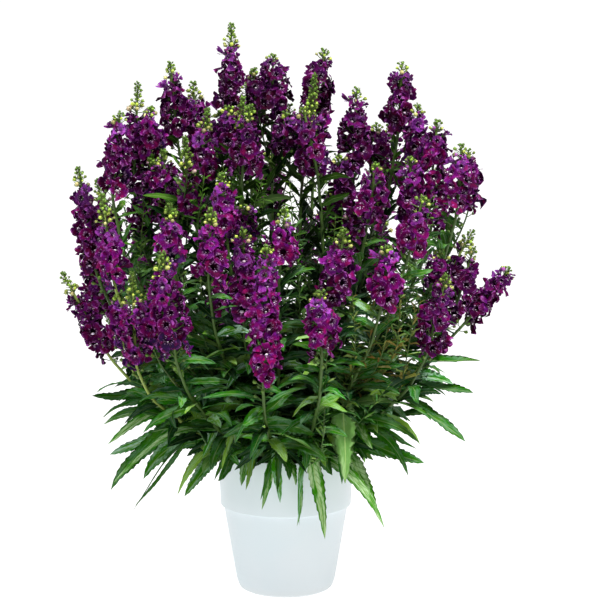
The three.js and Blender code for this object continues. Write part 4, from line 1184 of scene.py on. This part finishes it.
def add_leaves(shape, leaves, teeth, columns, closed):
    """Blades with toothed edges, arched along their length and folded along the midrib."""
    t, tooth = leaf_rows(teeth)
    u = np.linspace(-1, 1, columns)
    rows = len(t)

    def values(name):
        return np.array([getattr(leaf, name) for leaf in leaves])[:, None]

    root, along, side, length, sag = [values(name) for name in ("root", "along", "side", "length", "sag")]
    jitter = jitters(values("seed"), 50, 8)
    normal = unit(np.cross(unit(along - UP * column(sag * t)), side))
    rise = values("arch") * np.sin(math.pi * t) - 0.5 * sag * t * t + (0.2 * jitter[5] - 0.04) * t ** 4
    sway = 0.20 * jitter[0] * t * t + 0.10 * jitter[4] * np.sin(2 * math.pi * t) * t
    middle = root + along * column(length * t) + UP * column(length * rise) + side * column(length * sway)
    twist = column(np.radians(80 * jitter[1]) * t ** 1.5)
    across = side * np.cos(twist) + normal * np.sin(twist)
    out = normal * np.cos(twist) - side * np.sin(twist)
    base = np.maximum(blade_width(t), 0.16 * (1 - t) ** 3)
    wide = values("half_width") * values("slim")
    half, stand = wide * base, wide * TOOTH * tooth * np.sqrt(base)
    fold = 0.16 + 0.22 * (jitter[2] + 0.5)
    phase = jitter[3] * 20
    ripple = np.sin(2 * math.pi * (2.4 * t + phase)) * 0.16 * half * (1 - 0.6 * t)
    flutter = np.cos(2 * math.pi * (3.3 * t + 1.7 * phase)) * 0.06 * half
    high = column(half * fold) * np.abs(u) ** 1.3 + column(ripple) * u * np.abs(u) + column(flutter) * u * u
    flat = column(half) * u + column(stand) * np.where(np.abs(u) > 0.99, np.sign(u), 0)
    top = middle[:, :, None] + across[:, :, None] * column(flat) + out[:, :, None] * column(high)
    points = top.reshape(len(leaves), -1, 3)
    faces, under = grid_faces(rows, columns), np.zeros(rows * columns)
    inside = np.zeros((rows, columns), bool)
    if closed:
        inside[1:-1, 1:-1] = True
        thick = lerp(LEAF_THICKNESS, MIDRIB_THICKNESS, np.exp(-(u / 0.22) ** 2))
        thick = thick * np.minimum(1, values("half_width") / 6)
        below = top - out[:, :, None] * thick[:, None, :, None]
        points = np.concatenate([points, below[:, inside]], axis=1)
        lower = np.arange(rows * columns)
        lower[inside.reshape(-1)] = rows * columns + np.arange(inside.sum())
        faces = np.concatenate([faces, lower[faces][:, ::-1]])
        under = np.concatenate([under, np.ones(inside.sum())])
    per_leaf = points.shape[1]
    # Painted shade deep inside the bush, lessened by painted light on twig leaves
    light = outsideness(np.array([leaf.midrib(0.6) for leaf in leaves]))
    marks = {
        "tint": values("tint"), "dry": values("dry"), "shade": np.maximum(light, values("lit")[:, 0]),
        "age": np.clip(1.05 - (root[:, :, 2] - SOIL_TOP) / 300, 0, 1),
    }

    def marked(grid):
        grid = np.broadcast_to(grid, (rows, columns))
        return np.tile(np.concatenate([grid.reshape(-1), grid[inside]]), len(leaves))

    shape.add(points, [repeated(faces, len(leaves), per_leaf)], under=np.tile(under, len(leaves)),
              along=marked(t[:, None]), across=marked(u),
              **{name: np.repeat(numbers, per_leaf) for name, numbers in marks.items()})


# Forms that are stamped many times


def floret_form(kind, young):
    """An open floret, one unit from its mouth to a lobe's end: a cupped throat and five ruffled lobes."""
    jitter = jitters(700 + kind, 0, 80)
    rings = [circle(radius, even(THROAT_SIDES), depth) for radius, depth in THROAT]
    pole = len(THROAT) * THROAT_SIDES
    points = [*rings, [[0.0, 0.0, THROAT[0][1] - 0.05]]]
    quads = [grid_faces(len(THROAT), THROAT_SIDES, True)]
    radial = [np.repeat([radius for radius, _ in THROAT], THROAT_SIDES), [0.0]]
    lobes = [np.tile(even(THROAT_SIDES), len(THROAT)), [0.0]]
    s, v = LOBE_ROWS[:, None], np.linspace(-1, 1, LOBE_COLUMNS)
    widest = 0.20 + 0.24 * np.sin(0.5 * math.pi * np.minimum(1, s / 0.55))
    wide = (widest - 0.20 * np.maximum(0, (s - 0.6) / 0.4) ** 2) * (0.72 if young else 1.0) * v
    for k, centre in enumerate(LOBE_CENTRES):
        long, lean, roll, curl, cup, phase, shift = jitter[8 * k:8 * k + 7]
        centre = centre + 0.25 * shift
        out = LOBE_FOOT + (LOBE_REACHES[k] * (1 + 0.2 * long) - LOBE_FOOT) * s * (1 - 0.20 * v * v * s)
        slope = (1.15 if young else 0.30) + 1.1 * lean
        high = 0.02 + slope * (out - LOBE_FOOT) * (1 - 0.35 * s)
        high = high + 0.8 * roll * wide + (0.12 + 0.5 * cup) * s * v * v - (0.28 + 0.7 * curl) * s ** 3
        high = high + 0.10 * s * np.sin(4.2 * v + 12 * phase) + 0.05 * s * s * np.cos(9 * v + 20 * phase)
        out = out * (1 - 0.22 * s * np.minimum(1, np.abs(slope)))
        sheet = circle(out, centre, high) + circle(wide, centre + math.pi / 2)
        points.append(sheet.reshape(-1, 3))
        quads.append(grid_faces(*sheet.shape[:2]) + pole + 1 + k * wide.size)
        radial.append((0.33 + 0.67 * s + 0.06 * v ** 2).reshape(-1))
        lobes.append(np.tile(2.3 * k + 0.5 * v, len(LOBE_ROWS)))
    marks = {"radial": np.concatenate(radial), "lobe": np.concatenate(lobes)}
    return np.concatenate(points), [np.concatenate(quads), fan(pole, 0, THROAT_SIDES)], marks


def lathe(profile, sides):
    """Points and faces of a profile of radii and heights, from axis to axis, turned about it."""
    rings = [circle(radius, even(sides), height) for radius, height in profile[1:-1]]
    points = np.concatenate([*rings, [[0, 0, profile[0][1]], [0, 0, profile[-1][1]]]])
    start = len(rings) * sides
    fans = [fan(start, 0, sides, True), fan(start + 1, start - sides, sides)]
    return points, [grid_faces(len(rings), sides, True), np.concatenate(fans)]


def ball_form(sides, levels):
    """A unit ball that rises along its third axis, with its level as a mark."""
    angles = math.pi * np.arange(levels + 2) / (levels + 1)
    points, faces = lathe(np.stack([np.sin(angles), -np.cos(angles)], axis=1), sides)
    return points, faces, {"along": (points[:, 2] + 1) / 2}


def calyx_form():
    """Five pointed green sepals that hold the base of a floret or a bud, opening along the third axis."""
    shift, radius, height = np.array([(-0.55, 0.5, 0.55), (0.55, 0.5, 0.55), (0, 1.0, 1.5), (0, 0.62, 0.6)]).T
    sepals = [circle(radius, middle + shift, height) for middle in even(5)]
    faces = []
    for k in range(1, 21, 4):
        faces += [[0, k, k + 3], [0, k + 3, k + 1], [k, k + 2, k + 3], [k + 3, k + 2, k + 1]]
    points = np.concatenate([[[0.0, 0.0, 0.0]], *sepals])
    return points, [np.array(faces)], {"along": points[:, 2] / 1.5}


def bract_form():
    """A narrow pointed bract of unit length along its first axis, folded along the middle."""
    rows = [(0.0, 0.05, 0.0), (0.3, 0.13, 0.05), (0.65, 0.09, 0.05), (1.0, 0.01, -0.06)]
    x, wide, high = np.repeat(rows, 3, axis=0).T
    across = np.tile([-1.0, 0.0, 1.0], len(rows))
    points = np.stack([x, across * wide, high + np.abs(across) * 0.04], axis=1)
    return points, [grid_faces(len(rows), 3)], {"along": x, "across": across}


def frames_facing(out, up):
    """Frames whose third axis is out, with the second as near up as can be."""
    out = unit(out)
    right = unit(np.cross(up, out))
    return np.stack([right, np.cross(out, right), out], axis=1)


FULL_FORMS = [floret_form(kind, False) for kind in range(FLORET_FORMS)]
HALF_FORMS = [floret_form(20 + kind, True) for kind in range(YOUNG_FORMS)]
BALL = ball_form(6, 3)
SMALL_BALL = ball_form(5, 2)
CALYX = calyx_form()
BRACT = bract_form()


# Florets


def raceme_plan(stem):
    """Where a raceme's florets sit: their mouths, frames, sizes, ages and stalks."""
    is_side = stem.girth < 1
    key = stem.branch, stem.number
    wide = SIDE_WIDTH if is_side else RACEME_WIDTHS.get(key, 1.0)
    count = round((1.0 if is_side else SPARSE_RACEMES.get(key, 1.0)) * stem.bloom / FLORET_RISE)
    index = np.arange(count)
    share = ((index + 0.5) / max(1, count)) ** 0.74
    seed = stem.serial * 50 + index
    jitter = jitters(seed, 400, 9)
    outward = stem.spokes(np.radians(index * GOLDEN_ANGLE + 50 * jitter[1] + 71 * stem.serial))
    sideways = np.cross(stem.axis, outward)
    height = column(share * stem.bloom + 5.0 * jitter[2])
    inner = np.where(draw(seed, 410) < INNER_SHARE, INNER_REACH, 1.0)
    reach = wide * lerp(FLORET_REACH, FLORET_TOP_REACH, share ** 1.5) * (1 + 0.42 * jitter[3]) * inner
    reach = reach * lerp(FOOT_REACH, 1.0, smooth_step(0.0, FOOT_SHARE, share))
    nod = column(np.radians(lerp(*FLORET_NODS, share ** 2) + 60 * jitter[5]))
    facing = outward * np.cos(nod) + stem.axis * np.sin(nod) + sideways * column(0.9 * jitter[6])
    faded = (share < 0.3) & (draw(seed, 409) > (0.5 if is_side else 0.84))
    return SimpleNamespace(
        seed=seed,
        outward=outward,
        root=stem.low + stem.axis * (height - 4),
        mouth=stem.low + stem.axis * (height + 2.5) + outward * column(reach),
        frames=frames_facing(facing, stem.axis + sideways * column(0.9 * jitter[7])),
        size=lerp(FLORET_RADIUS, FLORET_TOP_RADIUS, share ** 2.2) * (1 + 0.4 * jitter[4]),
        age=np.where(faded, 1.0, np.clip(1.0 - share + 0.35 * jitter[8], 0, 0.95)),
        young=share > YOUNG_FROM,
    )


def add_florets(shape, plan):
    """Florets of mixed forms with painted light at the front, painted shade behind and inside, and two pale
    swellings in each throat.
    """
    seed, mouth, frames, size = plan.seed, plan.mouth, plan.frames, plan.size
    # Painted light: lighter towards the front, darker behind
    front = lerp(*PAINTED_FRONT_LIGHT, smooth_step(*FRONT_DEPTHS, mouth[:, 1]))
    tint = np.clip(0.75 * draw(seed, 422) + 0.55 * draw(seed // 50, 426) - 0.15 + front, 0, 1)
    for forms, chosen, number in ((FULL_FORMS, ~plan.young, 420), (HALF_FORMS, plan.young, 421)):
        picks = np.floor(draw(seed, number) * len(forms))
        for kind, form in enumerate(forms):
            own = chosen & (picks == kind)
            shape.stamp(form, mouth[own], frames[own], size[own], tint=tint[own], age=plan.age[own],
                        shade=outsideness(mouth[own]))
    lower = mouth - frames[:, 1] * column(0.17 * size) + frames[:, 2] * column(0.02 * size)
    swell = column(size * lerp(*CALLUS_SWELLS, draw(seed, 425) ** 1.8))
    shape.stamp(SMALL_BALL, lower, frames, swell * CALLUS_FORM, 1, tint=draw(seed, 423))


# Stems, stalks and buds


def add_stalks(shape, start, end, radius, bow, age):
    """Stalks that bow on the way from each start to each end."""
    t = np.linspace(0, 1, 3)[:, None]
    paths = start[:, None] * (1 - t) + end[:, None] * t + bow * 4 * t * (1 - t)
    radii = np.broadcast_to(np.reshape(radius, (-1, 1)), paths.shape[:2])
    shape.tubes(paths, radii, unit(np.cross(end - start, UP + 0.01)), 4, age=age, tint=0.5)


def add_stem(shape, stem):
    tip = stem.total + stem.span
    heights = np.linspace(0, tip - 1, int(tip / STEM_STEP))
    radii = stem.radius(heights)
    for height, _ in stem.nodes:
        radii = radii * (1 + NODE_SWELL * np.exp(-((heights - height) / 3.0) ** 2))
    age = np.interp(heights, [0, 25, 60, stem.total, tip], [1.0, 0.9, 0.65, 0.4, 0.1])
    pale = 1.0 if (stem.branch, stem.number) in PALE_STEMS else 0.6 * draw(stem.serial, 77)
    shape.tubes(stem.soft(heights)[None], radii[None], stem.side[None], STEM_SIDES, age=age, tint=pale)


def add_raceme_green(shape, stem, plan):
    """Stalks and calyces of a raceme's florets, and the seed capsules below them."""
    back = plan.mouth - plan.frames[:, 2] * column(FLORET_DEPTH * plan.size)
    add_stalks(shape, plan.root, back, STALK_RADIUS, stem.axis * -0.8, 0.25)
    behind = back - plan.frames[:, 2] * 0.8
    shape.stamp(CALYX, behind, plan.frames, CALYX_SIZE, age=0.35, tint=draw(plan.seed, 430))
    index = np.arange(3 + int(6 * draw(stem.serial, 440)))
    seed = stem.serial * 30 + index
    outward = stem.spokes(np.radians(index * GOLDEN_ANGLE + 40))
    start = stem.soft(stem.total - 3 - index * CAPSULE_PITCH)
    reach = column(CAPSULE_REACH + 3 * (draw(seed, 441) - 0.5))
    end = start + outward * reach + stem.axis * column(3.0 + 2 * draw(seed, 442))
    add_stalks(shape, start, end, CAPSULE_STALK, stem.axis * -0.6, 0.3)
    frames = frames_facing(outward + 0.5 * stem.axis, stem.axis)
    shape.stamp(CALYX, end, frames, CAPSULE_CALYX, age=0.4, tint=draw(seed, 443))
    sizes = column(0.8 + 0.4 * draw(seed, 444)) * CAPSULE_FORM
    shape.stamp(BALL, end + outward * 1.5, frames, sizes, 1, age=0.05, tint=0.5 * draw(seed, 445))


def add_buds(shape, stem):
    """Buds on stalks around the tip of a raceme, smaller and closer towards its end."""
    length = stem.span - stem.bloom
    places = []
    place = 0.5
    while place < length - 1.5:
        places.append(place)
        place += lerp(*BUD_PITCHES, place / length) * lerp(0.5, 1.5, draw(stem.serial, place))
    share = np.array(places) / length
    index = np.arange(len(places))
    seed = stem.serial * 80 + index
    jitter = jitters(seed, 500, 6)
    outward = stem.spokes(np.radians(index * GOLDEN_ANGLE + 40 * jitter[1]))
    radius = lerp(*BUD_RADII, share ** 0.8) * (1 + 0.7 * jitter[2])
    reach = lerp(*BUD_REACHES, share ** 0.85) * (1 + 0.8 * jitter[3])
    rise = lerp(*BUD_RISES, share) + 5.0 * lerp(1.0, 0.3, share) * jitter[4]
    start = stem.low + stem.axis * column(stem.bloom + np.array(places))
    end = start + outward * column(reach) + stem.axis * column(rise)
    add_stalks(shape, start, end, lerp(*BUD_STALKS, share), stem.axis * -0.5, 0.2)
    frames = frames_facing(outward + stem.axis * column(lerp(0.4, 1.6, share)), stem.axis + 0.01 * stem.side)
    ripe = np.clip(0.98 - 1.25 * share + 0.25 * jitter[5], 0, 1)
    for form, chosen in ((BALL, share < 0.5), (SMALL_BALL, share >= 0.5)):
        shape.stamp(form, end[chosen], frames[chosen], column(radius[chosen]) * BUD_FORM, 1,
                    age=ripe[chosen], tint=draw(seed[chosen], 507))
    behind = end - frames[:, 2] * column(radius) * 1.1
    shape.stamp(CALYX, behind, frames, radius * 1.5, age=0.05, tint=draw(seed, 508))
    forward, sideways = unit(outward + stem.axis * 0.9), np.cross(stem.axis, outward)
    bracts = np.stack([forward, sideways, unit(np.cross(forward, sideways))], axis=1)
    sizes = lerp(*BRACT_LENGTHS, share)
    shape.stamp(BRACT, start, bracts, sizes, age=lerp(0.35, 0.1, share), tint=draw(seed, 509))
    shape.stamp(BALL, [stem.high - stem.axis * 1.2], frames[-1:], [[1.0, 1.0, 1.2]], 1, age=0.0, tint=0.5)


def add_raceme(stalks, florets, stem):
    plan = raceme_plan(stem)
    add_stem(stalks, stem)
    add_raceme_green(stalks, stem, plan)
    add_buds(stalks, stem)
    add_florets(florets, plan)


def add_crown(shape, crown):
    """The woody base of a branch, from the soil to where its stems part."""
    heights = np.linspace(SOIL_TOP - CROWN_DEPTH, SOIL_TOP + CROWN_RISE, CROWN_RINGS)
    shares = [0.94] * (CROWN_RINGS - 1) + [0.5]
    bumps = 1 + 0.12 * jitters(np.arange(CROWN_SIDES), 600 + crown[0], CROWN_RINGS)
    rings = [circle(CROWN_RADIUS * share * bump, even(CROWN_SIDES), height) + [*crown, 0]
             for share, bump, height in zip(shares, bumps, heights)]
    points = np.concatenate([*rings, [[*crown, SOIL_TOP + CROWN_RISE]]])
    end = len(points) - 1
    faces = [grid_faces(CROWN_RINGS, CROWN_SIDES, True), fan(end, end - CROWN_SIDES, CROWN_SIDES)]
    shape.add(points, faces, age=1.0, tint=0.2)


# Pot and soil


def rounded(profile, radii):
    """A profile with its corners rounded."""
    profile = np.array(profile, float)
    t = np.linspace(0, 1, 5)[:, None]
    points = [profile[:1]]
    for before, corner, after, radius in zip(profile, profile[1:], profile[2:], radii):
        start = corner + unit(before - corner) * radius
        end = corner + unit(after - corner) * radius
        points.append((1 - t) ** 2 * start + 2 * t * (1 - t) * corner + t * t * end)
    return np.concatenate([*points, profile[-1:]])


def refined(profile, longest):
    """A profile with its long stretches split."""
    points = [profile[0]]
    for a, b in zip(profile[:-1], profile[1:]):
        parts = max(1, math.ceil(np.linalg.norm(b - a) / longest))
        points += [lerp(a, b, k / parts) for k in range(1, parts + 1)]
    return np.array(points)


def body_radius(z):
    share = (z - HEEL_HEIGHT) / (COLLAR_FOOT - HEEL_HEIGHT)
    return lerp(HEEL_RADIUS, COLLAR_FOOT_RADIUS - COLLAR_STEP, share)


def make_pot():
    top = body_radius(COLLAR_FOOT)
    profile = [
        (0, 0), (BASE_RADIUS, 0), (HEEL_RADIUS - 3, 3), (HEEL_RADIUS, HEEL_HEIGHT),
        (top, COLLAR_FOOT), (COLLAR_FOOT_RADIUS, COLLAR_FOOT + 1), (RIM_RADIUS, POT_HEIGHT),
        (RIM_RADIUS - WALL, POT_HEIGHT), (COLLAR_FOOT_RADIUS - WALL, COLLAR_FOOT + 3),
        (top - WALL, COLLAR_FOOT), (HEEL_RADIUS - WALL, HEEL_HEIGHT), (BASE_RADIUS, FLOOR), (0, FLOOR),
    ]
    corners = [1.5, 2.5, 3.5, 0.6, 0.9, 0.9, 0.9, 1, 1, 3, 1.5]
    shape = Shape()
    shape.add(*lathe(refined(rounded(profile, corners), 14), POT_SIDES))
    pot = make_piece("pot_shell", shape, [pot_look()], ["pot"])
    holes = Shape()
    points, faces = lathe([(0, -3), (DRAIN_RADIUS, -3), (DRAIN_RADIUS, 9), (0, 9)], 24)
    for angle in (np.arange(DRAIN_HOLES) + 0.5) * 2 * math.pi / DRAIN_HOLES:
        holes.add(points + circle(DRAIN_CIRCLE, angle), faces)
    cutter = make_object("drain_holes", holes)
    cut = pot.modifiers.new("drains", "BOOLEAN")
    cut.operation = "DIFFERENCE"
    cut.object = cutter
    bpy.context.view_layer.update()
    cut_mesh = bpy.data.meshes.new_from_object(pot.evaluated_get(bpy.context.evaluated_depsgraph_get()))
    pot.modifiers.clear()
    pot.data = cut_mesh
    bpy.data.objects.remove(cutter)
    cut_mesh.polygons.foreach_set("use_smooth", np.ones(len(cut_mesh.polygons), bool))


def make_soil():
    """Potting soil with a crumbly top, loose lumps of bark and white grains."""
    def inside(radius):
        return radius - WALL - SOIL_GAP - 0.6

    collar = inside(lerp(COLLAR_FOOT_RADIUS, RIM_RADIUS, (SOIL_TOP - COLLAR_FOOT) / COLLAR_HEIGHT))
    outside = [
        (0, FLOOR + 0.3), (BASE_RADIUS - 2, FLOOR + 0.3), (inside(HEEL_RADIUS) - 0.5, HEEL_HEIGHT + 0.5),
        (inside(body_radius(COLLAR_FOOT)), COLLAR_FOOT), (collar - 0.6, SOIL_TOP - 5),
    ]
    across = collar - SOIL_SHOULDER
    shoulder = [(lerp(collar - 0.6, across, k / 5), SOIL_TOP - 5 * (1 - k / 5) ** 2) for k in range(1, 6)]
    middle = [(across * (1 - k / 16), SOIL_TOP) for k in range(1, 17)]
    profile = np.concatenate([refined(np.array(outside, float), 30), shoulder, middle])
    points, faces = lathe(profile, SOIL_SIDES)
    x, y, z = points.T
    lumps = np.zeros(len(points))
    for k, (scale, size) in enumerate(((0.11, 1.1), (0.23, 0.8), (0.55, 0.5))):
        wave = np.sin(x * scale * 2.3 + 5 * k) * np.sin(y * scale * 2.7 + 2 * k)
        lumps += size * (wave + 1.4 * (draw(np.round(x * 3), np.round(y * 3) + k) - 0.5))
    points[:, 2] += smooth_step(SOIL_TOP - 6, SOIL_TOP - 4, z) * (lumps - 1.2)
    shape = Shape("tint")
    shape.add(points, faces, tint=0.3)
    seed = np.arange(SOIL_LUMPS)
    spread = np.sqrt(draw(seed, 800)) * (collar - 4)
    level = SOIL_TOP - 0.8 - 4 * smooth_step(across, across + 14, spread)
    place = circle(spread, 2 * math.pi * draw(seed, 801), level)
    out = unit(np.stack([draw(seed, 802) - 0.5, draw(seed, 803) - 0.5, draw(seed, 804) - 0.2], axis=1))
    frames = frames_facing(out, UP + 0.3 * out[:, ::-1])
    sides = [0.7 + draw(seed, 806), 0.5 + 0.6 * draw(seed, 807), 0.5 + 0.5 * draw(seed, 808)]
    sizes = column(1.1 + 1.9 * draw(seed, 805) ** 2) * np.transpose(sides)
    crowns = np.array([crown for crown, _ in BRANCHES.values()], float)
    free = np.min(apart(place[:, :2], crowns), axis=1) > CROWN_RADIUS + 3
    shape.stamp(BALL, place[free], frames[free], sizes[free], tint=draw(seed, 809)[free])
    make_piece("soil_fill", shape, [soil_look()], ["soil"])


# Light, floor and camera


def make_area(name, place, size, power, colour):
    """A round lamp that shines on the middle of the plant."""
    light = bpy.data.lights.new(name, "AREA")
    light.shape = "DISK"
    light.size, light.energy, light.color = size, power, colour
    lamp = bpy.data.objects.new(name, light)
    bpy.context.scene.collection.objects.link(lamp)
    lamp.location = place
    x, y, z = np.array(LIGHT_AIM) - place
    lamp.rotation_euler = (math.atan2(math.hypot(x, y), -z), 0, math.atan2(y, x) - math.pi / 2)


def make_studio():
    world = bpy.data.worlds.new("studio")
    bpy.context.scene.world = world
    world.use_nodes = True
    tree = world.node_tree
    background = tree.nodes["Background"]
    background.inputs["Color"].default_value = (1.0, 1.0, 1.0, 1.0)
    kinds = ("TexCoord", "SeparateXYZ", "MapRange")
    direction, height, dim = [tree.nodes.new("ShaderNode" + kind) for kind in kinds]
    for socket, value in zip(list(dim.inputs)[1:5], (*HORIZON_BAND, HORIZON_LIGHT, SKY_LIGHT)):
        socket.default_value = value
    tree.links.new(direction.outputs["Generated"], height.inputs[0])
    tree.links.new(height.outputs["Z"], dim.inputs["Value"])
    tree.links.new(dim.outputs["Result"], background.inputs["Strength"])
    for name, lamp in LAMPS.items():
        make_area(name, *lamp)
    sheet = Shape()
    sheet.add(FLOOR_REACH * np.array([(-1, -1, 0), (1, -1, 0), (1, 1, 0), (-1, 1, 0)]), [[[0, 1, 2, 3]]])
    floor = make_object("floor", sheet)
    look = Look("floor_paper", Emission_Color=(1.0, 1.0, 1.0, 1.0), Emission_Strength=FLOOR_GLOW)
    grain = look.noise(40.0, 3.0)
    colour = look.mix(look.span(grain, 0.3, 0.7), (0.30, 0.30, 0.30), (0.32, 0.32, 0.32))
    floor.data.materials.append(look.finish(colour, 0.8, grain, 0.05))
    bpy.context.scene.view_settings.view_transform = "Standard"


def make_camera():
    camera = bpy.data.cameras.new("camera")
    camera.sensor_width, camera.lens = 36, CAMERA_LENS
    camera.clip_start, camera.clip_end = 0.05, 200
    seen = bpy.data.objects.new("camera", camera)
    bpy.context.scene.collection.objects.link(seen)
    seen.location = CAMERA_PLACE
    seen.rotation_euler = (math.radians(90 - CAMERA_TILT), 0, 0)
    bpy.context.scene.camera = seen


# Assembly


def shoots_from(stems, rows, serial, girth):
    """Shoots that part from their stems some way below their own lowest point."""
    shoots = []
    for count, (branch, number, low, tip, buds) in enumerate(rows):
        parent = stems[branch, number]
        part = parent.at(np.interp(low[2] - SIDE_DROP, parent.arc[:, 2], parent.lengths))
        shoots.append(Stem(branch, number, serial + count, part, low, tip, buds, girth))
    return shoots


def make_plant():
    stems = {}
    for branch, (crown, racemes) in BRANCHES.items():
        for number, (foot, tip, buds) in enumerate(racemes):
            base = np.array([*crown, SOIL_TOP + CROWN_RISE / 2])
            stems[branch, number] = Stem(branch, number, len(stems), base, foot, tip, buds)
    room = place_leaves(stems)
    shoots = shoots_from(stems, SIDE_SHOOTS, SIDE_SERIAL, SIDE_GIRTH)
    twigs = shoots_from(stems, [(*row[:4], 1.0) for row in TWIGS], TWIG_SERIAL, TWIG_GIRTH)
    for twig, (*_, dry) in zip(twigs, TWIGS):
        twig.dry = dry
    petals, callus, green, leaves, buds = petal_look(), callus_look(), stem_look(), leaf_look(), bud_look()
    for branch, (crown, _) in BRANCHES.items():
        stalks, blades, side_florets = Shape(*STALK_MARKS), Shape(*LEAF_MARKS), Shape(*FLORET_MARKS)
        add_crown(stalks, crown)
        for stem in stems.values():
            if stem.branch == branch:
                florets = Shape(*FLORET_MARKS)
                add_raceme(stalks, florets, stem)
                number = f"{stem.serial + 1:02d}"
                make_piece("florets_" + number, florets, [petals, callus], ["raceme_" + number])
                large = [leaf for _, members in stem.nodes for leaf in members]
                add_foliage(blades, large + small_leaves(stem, room) + front_leaves(stem), stem.serial * 200)
        for shoot in shoots:
            if shoot.branch == branch:
                add_raceme(stalks, side_florets, shoot)
                add_foliage(blades, small_leaves(shoot, room), shoot.serial * 200)
        for twig in twigs:
            if twig.branch == branch:
                add_stem(stalks, twig)
                add_foliage(blades, twig_leaves(twig), twig.serial * 200)
        if side_florets.count:
            make_piece("side_florets_" + branch, side_florets, [petals, callus])
        make_piece("stalks_" + branch, stalks, [green, buds], ["stems_" + branch])
        make_piece("leaves_" + branch, blades, [leaves], ["stems_" + branch])


make_camera()
make_studio()
make_pot()
make_soil()
make_plant()
